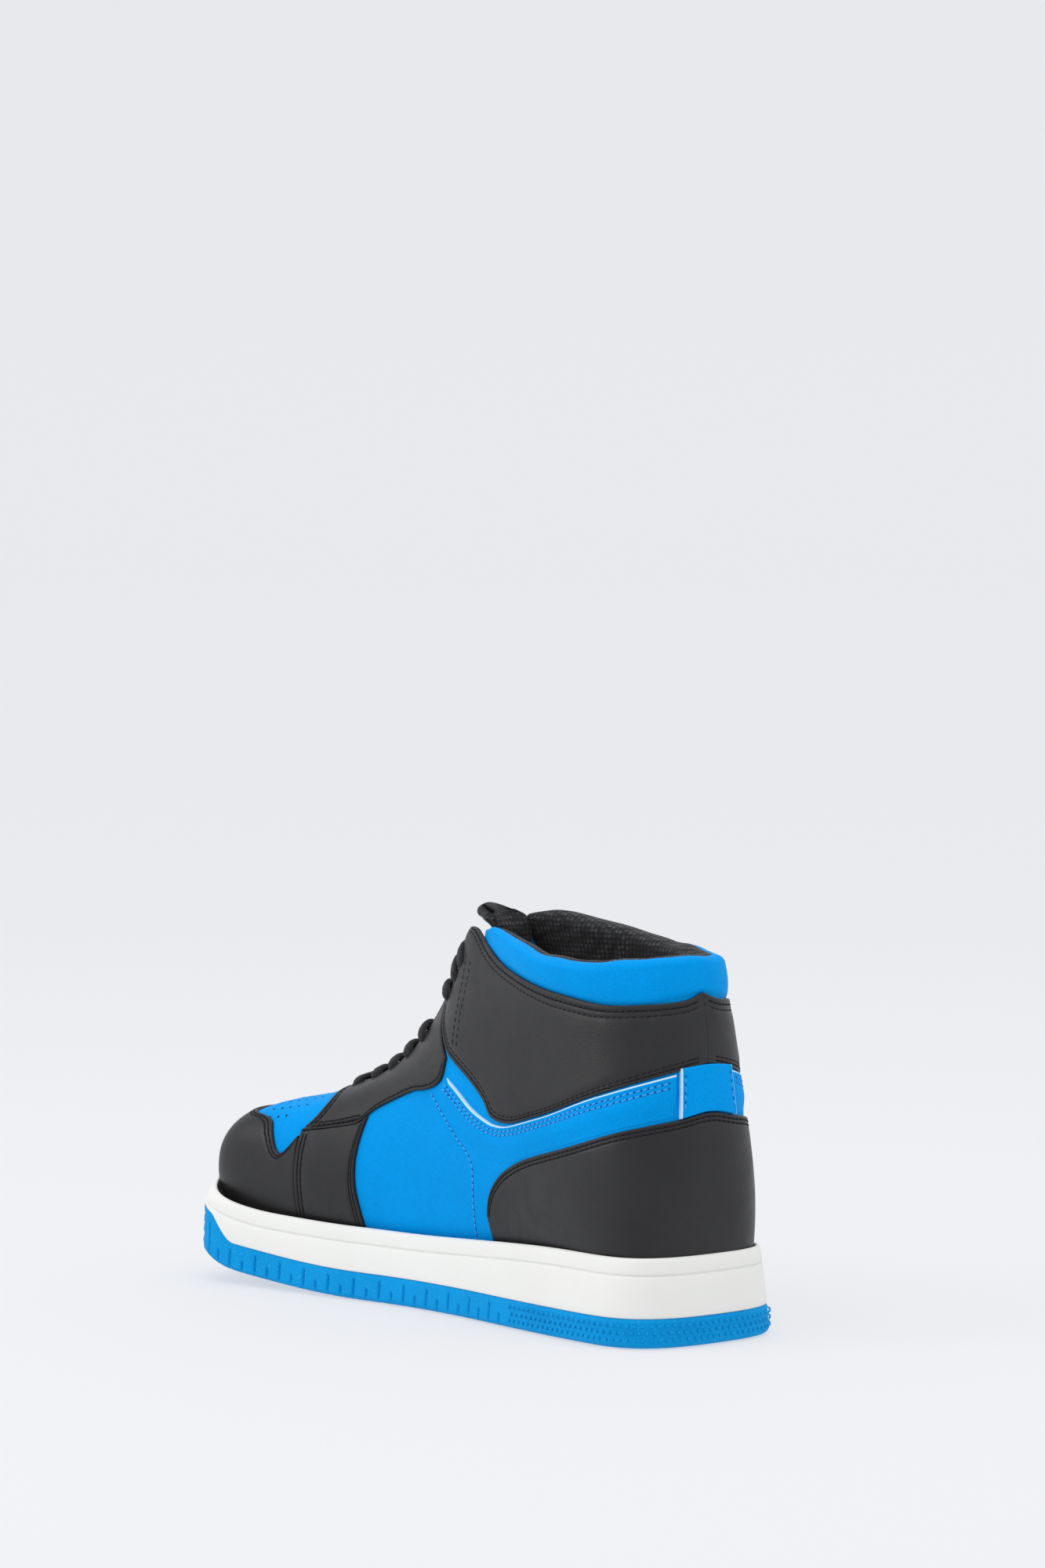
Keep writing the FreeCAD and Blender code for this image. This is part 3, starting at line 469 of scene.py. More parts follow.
def thread(name, colour, light):
    """Matt fibre, cut edge or painted shade in a hole: two tones of fine noise."""
    mat, tree, bsdf, at = shade(name, colour, 0.7, 0.12)
    fibres = noise(tree, at, 2500.0, 2.0)
    tree.links.new(ramp(tree, fibres, [(0.35, colour), (0.7, light)]), bsdf.inputs["Base Color"])
    tree.links.new(bump(tree, fibres, 0.5, 0.0001), bsdf.inputs["Normal"])
    return mat


BLUE = leather("blue_leather", (0.0, 0.332, 0.85), (0.0, 0.312, 0.80), (0.0, 0.350, 0.89), 0.55, 0.10,
               0.05, 0.03)
BLACK = leather("black_leather", (0.013, 0.013, 0.014), (0.009, 0.009, 0.010), (0.019, 0.019, 0.021), 0.43,
                0.35, 0.06, 0.38)
RAW = thread("raw_blue_edge", (0.42, 0.68, 0.90), (0.70, 0.86, 0.97))
RAW_BLACK = thread("raw_black_edge", (0.030, 0.030, 0.032), (0.06, 0.06, 0.062))
MESH = woven("black_mesh", (0.020, 0.020, 0.022), (0.075, 0.075, 0.082), 0.0021, depth=0.0008)
FOAM = moulded("white_foam", (0.81, 0.81, 0.775), (0.825, 0.825, 0.795), 0.55, relief=0.12, dirt=0.985)
RUBBER = moulded("blue_rubber", (0.0, 0.290, 0.68), (0.0, 0.32, 0.72), 0.66, speck=(0.03, 0.39, 0.78),
                 relief=0.5, spec=0.08)
BOARD = moulded("fibre_board", (0.55, 0.47, 0.35), (0.62, 0.54, 0.42), 0.85, speck=(0.40, 0.33, 0.24))
LACE_MAT = woven("black_braid", (0.016, 0.016, 0.018), (0.055, 0.055, 0.06), 0.0009, depth=0.0003)
TIP_MAT = thread("black_tip", (0.012, 0.012, 0.013), (0.02, 0.02, 0.022))
THREAD_BLACK = thread("black_thread", (0.009, 0.009, 0.010), (0.030, 0.030, 0.033))
THREAD_BLUE = thread("blue_thread", (0.0, 0.26, 0.74), (0.12, 0.48, 0.92))
# near-black fills that stand in for holes: painted shade inside needle holes, perforations and eyelets
HOLE_SHADE = thread("painted_hole_shade", (0.004, 0.004, 0.005), (0.008, 0.008, 0.01))
PIT_SHADE_BLUE = thread("painted_pit_shade_blue", (0.0, 0.07, 0.26), (0.0, 0.10, 0.34))
SOCK = woven("sock_fabric", (0.03, 0.03, 0.033), (0.08, 0.08, 0.085), 0.0011, depth=0.0002)

# ---- panels
# Outlines in (a, v). The base layer lies at height 0; the panels sewn over it lie OVER above that.
OVER = 1.5
LINING = -3.6
LINING_RIM = -2.7
UNDER_RIM = -1.2
TOE_EDGE = [(0.2685, 0.425), (0.25, 0.35), (0.238, 0.322), (0.226, 0.35), (0.213, 0.46),
            (0.203, 0.55), (0.188, 0.6), (0.15, 0.68), (0.122, 0.82), (0.112, 1.0)]
TOE_FOOT = [(0.2685, 0.02), (0.25, 0.02), (0.238, 0.02), (0.22, 0.02), (0.195, 0.025),
            (0.165, 0.03), (0.13, 0.045), (0.095, 0.07), (0.058, 0.12), (0.026, 0.3),
            (0.012, 0.6), (0.008, 1.0)]
VAMP_FRONT = [(0.23, 0.02), (0.19, 0.15), (0.15, 0.35), (0.12, 0.6), (0.092, 0.85), (0.088, 1.0)]
VAMP_REAR = [(0.368, 0.02), (0.368, 0.25), (0.36, 0.5), (0.32, 0.75), (0.28, 0.9), (0.262, 1.0)]
COUNTER_TOP = [(0.657, 0.144), (0.675, 0.2), (0.703, 0.256), (0.73, 0.3), (0.768, 0.356),
               (0.82, 0.419), (0.893, 0.494), (0.943, 0.531), (0.975, 0.551), (1.0, 0.572)]
COUNTER_FOOT = [(0.645, 0.02), (0.76, 0.02), (0.88, 0.02), (1.0, 0.02)]
TAB_TOP = [(0.9735, 0.727), (1.0, 0.736)]
TAB_FOOT = [(0.9735, 0.553), (1.0, 0.576)]
PANELS = {
    "side_panel": dict(
        bottom=[(0.27, 0.02), (0.33, 0.02), (0.395, 0.02)],
        top=[(0.272, 0.453), (0.33, 0.46), (0.39, 0.48), (0.412, 0.524)],
        left=[(0.27, 0.02), (0.269, 0.15), (0.269, 0.3), (0.272, 0.453)],
        right=[(0.395, 0.02), (0.391, 0.12), (0.388, 0.2), (0.393, 0.325), (0.412, 0.524)]),
    "eyestay": dict(
        bottom=[(0.272, 0.457), (0.33, 0.464), (0.39, 0.484), (0.424, 0.562), (0.468, 0.613),
                (0.515, 0.64), (0.55, 0.631), (0.578, 0.631), (0.6, 0.65), (0.616, 0.715)],
        top=[(0.276, 0.93), (0.33, 0.925), (0.42, 0.935), (0.5, 0.955), (0.571, 0.975)],
        left=[(0.272, 0.457), (0.292, 0.54), (0.302, 0.644), (0.297, 0.75), (0.276, 0.93)],
        right=[(0.616, 0.715), (0.587, 0.85), (0.571, 0.975)]),
    "ankle_panel": dict(
        bottom=[(0.573, 0.98), (0.586, 0.87), (0.618, 0.742), (0.64, 0.687), (0.681, 0.6),
                (0.704, 0.53), (0.714, 0.47), (0.743, 0.466), (0.79, 0.529), (0.853, 0.615),
                (0.905, 0.665), (0.95, 0.702), (0.9999, 0.738)],
        top=[(0.672, 0.985), (0.703, 0.972), (0.743, 0.938), (0.777, 0.925), (0.84, 0.913),
             (0.893, 0.897), (0.94, 0.897), (0.98, 0.903), (0.9999, 0.918)],
        left=[(0.573, 0.98), (0.605, 0.985), (0.64, 0.988), (0.672, 0.985)],
        right=None),
    "strap": dict(
        bottom=[(0.588, 0.6), (0.612, 0.5), (0.642, 0.4), (0.68, 0.32), (0.73, 0.313),
                (0.768, 0.369), (0.82, 0.432), (0.893, 0.507), (0.943, 0.544), (0.97, 0.56)],
        top=[(0.612, 0.648), (0.645, 0.576), (0.677, 0.496), (0.703, 0.456), (0.72, 0.445),
             (0.743, 0.456), (0.79, 0.52), (0.853, 0.607), (0.905, 0.657), (0.95, 0.694),
             (0.97, 0.709)],
        left=None, right=None),
    "quarter": dict(
        bottom=[(0.377, 0.02), (0.6, 0.02), (0.8, 0.02), (0.9975, 0.02)],
        top=[(0.377, 0.5), (0.43, 0.64), (0.5, 0.74), (0.57, 0.8), (0.63, 0.78),
             (0.69, 0.66), (0.74, 0.58), (0.85, 0.66), (0.9975, 0.76)],
        left=None, right=None),
    "quarter_lining": dict(
        bottom=[(0.364, 0.03), (0.52, 0.03), (0.666, 0.03)],
        top=[(0.364, 0.5), (0.43, 0.78), (0.48, 0.9), (0.56, 0.95), (0.666, 0.975)],
        left=None, right=None),
}


def crossing(foot, edge, axis):
    """Outline of a panel that crosses the centre line, from its half's lower and upper edge."""
    return dict(bottom=both_ways(foot, axis), top=both_ways(edge, axis))


FLAP_FORWARD = 1.4
FLAP_UP = 3.8


def flap(av):
    """The ankle panel's top front corner stands up round the tongue."""
    a, v = av[..., 0], av[..., 1]
    share = np.exp(-((a - 0.670) / 0.034) ** 4) * smooth((v - 0.88) / 0.10)
    return share[..., None] * np.array([FLAP_FORWARD, 0.0, FLAP_UP])


for mirror, where in ((1, "medial"), (-1, "lateral")):
    panel("quarter_look_" + where, PANELS["quarter"], 0.0, BLUE, "leather_blue", mirror,
          low=UNDER_RIM, replace=["quarter_" + where], step=3.0)
    panel("strap_look_" + where, PANELS["strap"], OVER + 0.1, BLUE, "leather_blue", mirror,
          seams={"top": (2.6, 4.7)}, low=0.0, replace=["strap_" + where], raw=RAW, raw_edges=("top",),
          step=2.2, butt=("bottom", "left"), feather=("bottom", "left"))
    panel("side_look_" + where, PANELS["side_panel"], OVER, BLACK, "leather_black", mirror,
          seams={"left": (2.0, 4.0), "right": (2.0, 4.0)}, low=0.0, replace=["side_panel_" + where],
          raw=RAW_BLACK, raw_edges=("top",))
    panel("eyestay_look_" + where, PANELS["eyestay"], OVER + 0.1, BLACK, "leather_black", mirror,
          seams={"bottom": (1.9,), "left": (2.0, 4.0), "top": (2.4,)}, low=0.0,
          replace=["eyestay_" + where], step=2.2)
    panel("ankle_look_" + where, PANELS["ankle_panel"], OVER, BLACK, "leather_black", mirror,
          seams={"top": (2.2, 4.4), "bottom": (2.0, 4.0)}, low=0.0, replace=["ankle_panel_" + where],
          puff=0.5, butt=("right",), warp=flap)
    panel("quarter_lining_look_" + where, PANELS["quarter_lining"], LINING, MESH, "mesh_black", mirror,
          low=LINING_RIM, replace=["quarter_lining_" + where], step=4.0, edge_drop=0.0)
panel("vamp_look", crossing(VAMP_FRONT, VAMP_REAR, 1), 0.0, BLUE, "leather_blue", low=UNDER_RIM,
      replace=["vamp"])
panel("toe_cap_look", crossing(TOE_FOOT, TOE_EDGE, 1), OVER, BLACK, "leather_black", low=0.0,
      seams={"top": (2.0, 4.0)}, replace=["toe_cap"])
panel("counter_look", crossing(COUNTER_FOOT, COUNTER_TOP, 0), OVER, BLACK, "leather_black", low=0.0,
      seams={"top": (2.2, 4.3)}, replace=["heel_counter"])
panel("heel_tab_look", crossing(TAB_FOOT, TAB_TOP, 0), OVER + 1.1, BLUE, "leather_blue", low=0.0,
      seams={"left": (2.0,), "right": (2.0,)}, replace=["heel_tab"], raw=RAW, raw_edges=("left", "right"),
      step=1.5)


# ---- stitching
def ring_points(radius, count):
    """Points of a circle, counted from the first axis."""
    turns = [2 * math.pi * k / count for k in range(count)]
    return [(radius * math.cos(t), radius * math.sin(t)) for t in turns]


def ring_quads(rings, count, start=0):
    """Quads between rings of count points that follow each other."""
    return [(start + i * count + k, start + (i + 1) * count + k, start + (i + 1) * count + (k + 1) % count,
             start + i * count + (k + 1) % count) for i in range(rings - 1) for k in range(count)]


def capsule(sides=6):
    """A low stitch: six-sided, rounded at both ends, lying along X."""
    rings = [(-1.0, 0.25), (-0.78, 0.8), (-0.35, 1.0), (0.35, 1.0), (0.78, 0.8), (1.0, 0.25)]
    v = [(x, y, z) for x, r in rings for y, z in ring_points(r, sides)]
    f = ring_quads(len(rings), sides)
    f.append(tuple(range(sides - 1, -1, -1)))
    f.append(tuple(range((len(rings) - 1) * sides, len(rings) * sides)))
    return np.array(v), f


CAP_V, CAP_F = capsule()
# the stitch pitch, (length, width, height) of a stitch and of a needle hole's painted shade, and each one's
# place in a pitch
PITCH = 2.9
STITCH = (2.15, 0.80, 0.62)
NEEDLE_HOLE_SHADE = (0.95, 1.0, 0.42)
MID_STITCH = 0.5
BETWEEN = 0.999
SLANT = 0.12


def stitches(lines, size, ahead_by):
    """Stitch meshes of one (length, width, height) along (a, v) lines at an offset from the last."""
    length, width, height = size
    verts, faces = [], []
    for line, offset, mirror, warp in lines:
        p, n = frame_at(line[:, 0], line[:, 1], mirror)
        p = p + n * offset + (warp(line) if warp else 0.0)
        run = arc(p)
        count = int(run[-1] / PITCH)
        if count < 1:
            continue
        at = (np.arange(count) + ahead_by) * run[-1] / count
        q = at_length(at, run, p)
        m = unit(at_length(at, run, n))
        ahead = at_length(at + 0.8, run, p) - at_length(at - 0.8, run, p)
        tangent = unit(ahead - (ahead * m).sum(1, keepdims=True) * m)
        tilt = unit(tangent + SLANT * np.cross(m, tangent))
        across = np.cross(m, tilt)
        V = (q[:, None] + tilt[:, None] * (CAP_V[None, :, :1] * length / 2)
             + across[:, None] * (CAP_V[None, :, 1:2] * width / 2)
             + m[:, None] * (CAP_V[None, :, 2:] * height / 2))
        start = sum(len(x) for x in verts)
        verts.append(V.reshape(-1, 3))
        for k in range(count):
            faces += [tuple(i + start + k * len(CAP_V) for i in f) for f in CAP_F]
    return np.vstack(verts), faces


def av_line(points, n=160):
    return spline(points, np.linspace(0, 1, n))


for mirror in (1, -1):
    deco = av_line([(0.565, 0.615), (0.590, 0.520), (0.622, 0.400), (0.648, 0.300), (0.630, 0.180),
                    (0.605, 0.060)])
    THREADS.append((deco, 0.12, mirror, "blue", None))
    for line in ([(0.674, 0.940), (0.660, 0.850), (0.645, 0.735)],
                 [(0.688, 0.925), (0.673, 0.835), (0.657, 0.722)]):
        THREADS.append((av_line(line), OVER + 0.30, mirror, "black", flap))
    for line in ([(0.300, 0.478), (0.345, 0.486), (0.388, 0.505)],
                 [(0.304, 0.500), (0.350, 0.508), (0.396, 0.530)]):
        THREADS.append((av_line(line), OVER + 0.22, mirror, "black", None))
for kind, mat, slot in (("blue", THREAD_BLUE, "leather_blue"), ("black", THREAD_BLACK, "leather_black")):
    mine = [(line, offset, side, warp) for line, offset, side, colour, warp in THREADS if colour == kind]
    v, f = stitches(mine, STITCH, MID_STITCH)
    mesh_object("stitches_" + kind, v, f, "shoe", mat)
    # a dark capsule sunk between each two stitches: painted shade of the needle hole
    v, f = stitches([(line, o - THREAD_SINK, side, w) for line, o, side, w in mine], NEEDLE_HOLE_SHADE, BETWEEN)
    mesh_object("needle_hole_shade_" + kind, v, f, "shoe", PIT_SHADE_BLUE if kind == "blue" else HOLE_SHADE)


# ---- perforations in the vamp
def discs(spots, radius, offset, rim, sides=14):
    """Punched holes as seen: a dark disc of painted shade inside a raised rim, lying on the surface."""
    verts, faces, index = [], [], []
    rings = [(radius + rim, 0.0), (radius + rim * 0.6, 0.10), (radius, 0.06), (radius * 0.9, 0.02)]
    for a, v, mirror in spots:
        p, n = frame_at(np.array(a), np.array(v), mirror)
        x = unit(np.cross(n, [0.3, 0.1, 1.0]))
        y = np.cross(n, x)
        start = len(verts)
        for r, h in rings:
            verts += [p + n * (offset + h) + x * c + y * d for c, d in ring_points(r, sides)]
        faces += [(q[0], q[3], q[2], q[1]) for q in ring_quads(len(rings), sides, start)]
        index += [0] * (2 * sides) + [1] * sides
        faces.append(tuple(start + (len(rings) - 1) * sides + k for k in range(sides)))
        index.append(1)
    return np.array(verts), faces, index


PERFORATIONS = []
for mirror in (1, -1):
    for row, (v, count) in enumerate(((0.995, 7), (0.90, 7), (0.80, 6), (0.70, 5), (0.60, 4), (0.51, 2))):
        if mirror < 0 and row == 0:
            continue
        for k in range(count):
            a = 0.165 + 0.0165 * k + (0.008 if row % 2 else 0.0) + 0.02 * (1.0 - v)
            rear, front = 0.287 - 0.045 * abs(v - 0.75), 0.155 + 0.13 * max(0.0, 0.75 - v)
            if front < a < rear:
                PERFORATIONS.append((a, v, mirror))
# the dark centre of each perforation is painted shade, where a real hole would show its dark inside
v, f, i = discs(PERFORATIONS, 0.62, 0.02, rim=0.25)
mesh_object("vamp_perforations", v, f, "shoe", [BLUE, HOLE_SHADE], i)

# ---- linings seen through the mouth
VAMP_LINING_FRONT = [(0.205, 0.03), (0.17, 0.15), (0.125, 0.35), (0.095, 0.6), (0.07, 0.85),
                     (0.065, 1.0)]
VAMP_LINING_REAR = [(0.368, 0.03), (0.368, 0.25), (0.358, 0.5), (0.315, 0.75), (0.272, 0.9),
                    (0.255, 1.0)]
HEEL_LINING_TOP = [(0.662, 0.69), (0.76, 0.68), (0.88, 0.67), (1.0, 0.67)]
HEEL_LINING_FOOT = [(0.662, 0.03), (0.76, 0.03), (0.88, 0.03), (1.0, 0.03)]
panel("vamp_lining_look", crossing(VAMP_LINING_FRONT, VAMP_LINING_REAR, 1), LINING, MESH, "mesh_black",
      low=LINING_RIM, replace=["vamp_lining"], step=4.0, edge_drop=0.0)
panel("heel_lining_look", crossing(HEEL_LINING_FOOT, HEEL_LINING_TOP, 0), LINING, MESH, "mesh_black",
      low=LINING_RIM, replace=["heel_lining"], step=4.0, edge_drop=0.0)


# ---- padded collar
# the front ends of the collar in a, its lower edges and crest in v, then half thickness, crest height,
# how far the far front end is set in and forward, and how far the leather's edge moves out on that side
NEAR_END = 0.702
FAR_END = 1.314
COLLAR_FOOT = 0.868
COLLAR_EDGE = 0.985
COLLAR_INNER_FOOT = 0.640
THIN_END = 1.6
FULL = 4.65
CREST = 0.85
FAR_INWARD = 6.0
FAR_FORWARD = 5.0
TURN_BACK = 0.22


def on_far_side(a):
    return smooth((a - 1.10) / 0.10)


def collar_reach(a):
    """Half the collar's thickness: thin at its front ends."""
    return THIN_END + (FULL - THIN_END) * smooth((np.minimum(a, 2.0 - a) - 0.690) / 0.080)


def lumps(a, k):
    """Slow, uneven pull of the sewn collar."""
    return 0.5 * np.sin(a * 41.0 + k) + 0.3 * np.sin(a * 87.0 + 2.1 * k) + 0.2 * np.sin(a * 143.0 + 0.7 * k)


def collar_sag(a):
    """The soft collar slumps on the inner side of the foot and stands up on the outer side in front."""
    return np.interp(a, (0.70, 0.72, 0.76, 0.80, 0.86, 0.93, 1.0, 1.08, 1.16, 1.22, 1.27, 1.295, FAR_END),
                     (-0.5, 0.0, -3.2, -5.0, -5.4, -3.6, -3.8, -3.4, -0.6, 3.2, 6.0, 5.4, -1.5))


def seam_level(a):
    """Where the ankle panel's top edge crosses the collar, as a section parameter."""
    v = np.interp(np.minimum(a, 2.0 - a), (0.703, 0.743, 0.777, 0.840, 0.893, 0.940, 1.0),
                  (0.972, 0.938, 0.925, 0.913, 0.897, 0.897, 0.917))
    return (v - COLLAR_FOOT) / (COLLAR_EDGE - COLLAR_FOOT)


def collar_point(a, t, bulge):
    """Collar section: outside for t < 1, over the crest for 1..2, down the inside for t > 2."""
    reach = collar_reach(a)
    edge = np.full_like(a, COLLAR_EDGE)
    low = skin(a, COLLAR_FOOT + (COLLAR_EDGE - COLLAR_FOOT) * np.clip(t, 0, 1), bulge)
    inner_v = COLLAR_EDGE + (COLLAR_INNER_FOOT - COLLAR_EDGE) * np.clip(t - 2.0, 0, 1)
    inside = skin(a, inner_v, -2.0 * reach - bulge)
    centre = skin(a, edge, -reach)
    out = unit(skin(a, edge, np.zeros_like(a)) - centre)
    turn = math.pi * np.clip(t - 1.0, 0, 1)
    crest = centre + out * ((reach + bulge) * np.cos(turn))[..., None]
    crest[..., 2] += (reach + bulge) * CREST * np.sin(turn)
    p = np.where((t < 1.0)[..., None], low, np.where((t > 2.0)[..., None], inside, crest))
    share = smooth((t - seam_level(a)) / 0.9) * (1.0 - smooth((t - 2.1) / 0.7))
    p[..., 2] += (collar_sag(a) + 0.7 * lumps(a, 5.0)) * share
    p[..., 1] += FAR_INWARD * smooth((a - 1.20) / 0.11) * share
    p[..., 0] += FAR_FORWARD * smooth((a - 1.23) / 0.08) * share
    return p


def collar_strip(name, t0, t1, nt, mat, bulge, lip, replace):
    """A closed skin of the collar between two section parameters, lip thick.

    The edge where leather and mesh meet lies further out on the far side, and the leather wraps its end.
    """
    na = 260
    a, f = np.meshgrid(np.linspace(NEAR_END, FAR_END, na), np.linspace(0.0, 1.0, nt), indexing="ij")
    shift = 1.1 * smooth((a - FAR_END + 0.030) / 0.018) - TURN_BACK * on_far_side(a)
    t = (t0 + shift * (t0 > 1)) * (1 - f) + (t1 + shift * (t1 < 2)) * f
    ends = np.minimum(a - NEAR_END, FAR_END - a) / 0.03
    b = bulge(a, t) * smooth(ends)
    outer = collar_point(a, t, b)
    inner = collar_point(a, t, b - lip)
    v = np.vstack([outer.reshape(-1, 3), inner.reshape(-1, 3)])
    under, j = na * nt, nt - 1
    rim = []
    for i in range(na - 1):
        p, q = i * nt, (i + 1) * nt
        rim += [(p, under + p, under + q, q), (p + j, q + j, under + q + j, under + p + j)]
    for j in range(nt - 1):
        k = (na - 1) * nt + j
        rim += [(j, j + 1, under + j + 1, under + j), (k, under + k, under + k + 1, k + 1)]
    faces = np.vstack([grid_faces(na, nt), grid_faces(na, nt, start=under)[:, ::-1], np.array(rim)])
    obj = mesh_object(name, v, faces, "shoe", mat)
    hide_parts(*replace)


def outer_bulge(a, t):
    """The blue roll: fullest half way from its seam to the crest."""
    start = seam_level(a)
    rise = np.clip((t - start) / (1.5 - start), 0, 1)
    roll = (2.3 + 0.25 * lumps(a, 1.0)) * np.sin(np.pi * rise) ** 0.65
    return roll - 0.25 * smooth((start + 0.1 - t) / 0.1)


def inner_bulge(a, t):
    """The mesh inside: a bound edge, a soft hump and a shallow seam."""
    hump = np.sin(np.pi * np.clip((t - 1.35) / 1.65, 0, 1)) ** 0.7
    binding = 0.8 * np.exp(-((t - 1.52 + TURN_BACK * on_far_side(a)) / 0.13) ** 2)
    return 0.35 + 0.9 * hump + 0.35 * lumps(a, 3.0) * hump + binding - 0.5 * np.exp(-((t - 2.12) / 0.05) ** 2)


collar_strip("collar_leather", 0.0, 1.42, 60, BLUE, outer_bulge, 1.0, ["collar_outer"])
collar_strip("collar_mesh", 1.36, 3.0, 90, MESH, inner_bulge, 1.0,
             ["collar_lining", "collar_padding"])

# ---- tongue
# x, z, half width and bend radius across, from the sewn front end to the free top
TONGUE = np.array([(84, 77, 15, 40), (68, 80.0, 19, 36), (50, 85.8, 21, 30), (33, 95.0, 21, 26),
                   (18.5, 107.5, 20, 24), (4.5, 123.0, 18, 22), (-5, 136.5, 16, 21), (-10, 149, 13.0, 19),
                   (-10, 158, 12.8, 19), (-7, 165, 14.0, 21), (-5, 170, 14.5, 23)], float)
TONGUE_OFFSET = 0.4
TOP_LEAN = (6.0, 7.0, -1.8)
THICK = 7.2
TOP_EXTRA = 4.0


def spine(f):
    """The tongue's middle line: its row of values and the direction into the shoe."""
    at = np.asarray(f, float) * (len(TONGUE) - 1)
    k = np.minimum(at.astype(int), len(TONGUE) - 2)
    t = (at - k)[..., None]
    idx = [np.clip(k + d, 0, len(TONGUE) - 1) for d in (-1, 0, 1, 2)]
    p0, p1, p2, p3 = (TONGUE[i] for i in idx)
    m1, m2 = (p2 - p0) / 2, (p3 - p1) / 2
    slope = ((6 * t * t - 6 * t) * (p1 - p2) + (3 * t * t - 4 * t + 1) * m1 + (3 * t * t - 2 * t) * m2)
    inward = unit(np.stack([-slope[..., 1], np.zeros_like(at), slope[..., 0]], -1))
    return hermite(p0, p1, p2, p3, t), inward


def tongue_point(f, across, depth):
    """A point of the tongue: f along it, across from -1 to 1, depth under its front."""
    value, inward = spine(f)
    x, z, half, radius = (value[..., k] for k in range(4))
    turn = across * np.arcsin(np.clip(half / radius, 0, 0.97))
    drop = radius - (radius - depth) * np.cos(turn)
    y = centre_y(x) + TONGUE_OFFSET
    fold = smooth((np.asarray(f) - 0.80) / 0.22)
    p = np.stack([x, y, z], -1) + fold[..., None] * np.array(TOP_LEAN) + inward * drop[..., None]
    p[..., 1] += (radius - depth) * np.sin(turn)
    return p


def tongue_body():
    """One stuffed closed form: leather front, mesh back, sewn edge between, domed at the top."""
    nf, nc = 190, 128
    f = np.linspace(0.0, 1.0, nf)
    ring = np.linspace(0, 2 * math.pi, nc, endpoint=False)
    F, R = np.meshgrid(f, ring, indexing="ij")
    across, body = power(np.cos(R), 0.75), power(np.sin(R), 0.8)
    top = smooth((F - 0.84) / 0.16)
    cap = np.sqrt(np.clip(1.0 - np.clip((F - 0.930) / 0.070, 0, 1) ** 2, 0.0, 1.0))
    level = F * (1.0 - 0.11 * top * np.abs(across) ** 2.0) - 0.010 * top
    thick = THICK + TOP_EXTRA * top
    puff = 0.35 * np.sin(F * 60) * np.clip(body, 0, 1) * smooth((F - 0.1) / 0.1) * (1 - top)
    depth = thick / 2 - body * thick * (0.04 + 0.96 * cap) / 2 - puff
    p = tongue_point(level, across * (0.90 - 0.24 * top) * (0.40 + 0.60 * cap), depth)
    index = []
    for i in range(nf - 1):
        for r in ring + math.pi / nc:
            wrap = i > 0.875 * nf and abs(math.cos(r)) < 0.88
            index.append(0 if 0.02 < r < math.pi - 0.02 or wrap else 1)
    index += [1, 0]
    obj = mesh_object("tongue_look", p.reshape(-1, 3), closed_tube(nf, nc), "tongue",
                      [BLACK, MESH], index)
    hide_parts("tongue_outer", "tongue_padding", "tongue_lining")


tongue_body()

# ---- lace
EYELETS = [(0.322, 0.830), (0.372, 0.845), (0.420, 0.860), (0.467, 0.875), (0.513, 0.890),
           (0.598, 0.920), (0.627, 0.930), (0.655, 0.935)]
LACE_EDGE = ((0.270, 0.330, 0.420, 0.500, 0.564, 0.600, 0.672),
             (0.930, 0.925, 0.935, 0.955, 0.975, 0.985, 0.985))
LACE = 1.6
INSIDE = LINING - LACE - 0.3
OUTSIDE = OVER + LACE + 1.5
CROSS_LIFT = 2.1
BAR_DROP = 0.5
TIP_LENGTH = (0.012, -0.060)
HALF_WIDE = 2.7
HALF_THICK = 1.35
PLAIT = 1.9
LACE_STEP = 0.45
SETTLE = 0.45


def spot(a, v, offset, side=1):
    return skin(np.array(a), np.array(v), np.array(offset), side)


def edge_point(side, a, offset):
    return spot(a, np.interp(a, *LACE_EDGE), offset, side)


def strand(side, lift):
    """One half of the lace, from the lowest hole up, crossing over at each pair of holes."""
    a, v = EYELETS[0]
    points = [spot(a, v, OUTSIDE, side), spot(a, v, INSIDE, side)]
    for k in range(len(EYELETS) - 1):
        (a0, v0), (a1, v1) = EYELETS[k], EYELETS[k + 1]
        low = edge_point(side, a0 + (a1 - a0) * 0.25, INSIDE)
        high = edge_point(-side, a0 + (a1 - a0) * 0.75, OUTSIDE + 1.5)
        am = 0.5 * (a0 + a1)
        middle = (low + high) * 0.5 + spot(am, 1.0, lift) - spot(am, 1.0, 0.0)
        points += [low, middle, high, spot(a1, v1, OUTSIDE, -side), spot(a1, v1, INSIDE, -side)]
        side = -side
    a, v = EYELETS[-1]
    points.append(spot(a + TIP_LENGTH[0], v + TIP_LENGTH[1], INSIDE, side))
    return points


bar_a = EYELETS[0][0]
bar = [edge_point(-1, bar_a, OUTSIDE), spot(bar_a, 1.0, OUTSIDE - BAR_DROP), edge_point(1, bar_a, OUTSIDE)]
ROUTE = strand(-1, -CROSS_LIFT)[::-1] + bar + strand(1, CROSS_LIFT)


def nurbs_line(points):
    """Points along a smooth spline that has the route as its control points."""
    curve = bpy.data.curves.new("lace_line", "CURVE")
    curve.dimensions = "3D"
    curve.resolution_u = 16
    line = curve.splines.new("NURBS")
    line.points.add(len(points) - 1)
    for p, q in zip(line.points, points):
        p.co = (*(q * MM), 1.0)
    line.order_u = 3
    line.use_endpoint_u = True
    obj = bpy.data.objects.new("lace_line", curve)
    bpy.context.scene.collection.objects.link(obj)
    mesh = bpy.data.meshes.new_from_object(obj)
    pts = np.array([v.co for v in mesh.vertices]) / MM
    bpy.data.objects.remove(obj)
    bpy.data.meshes.remove(mesh)
    return pts


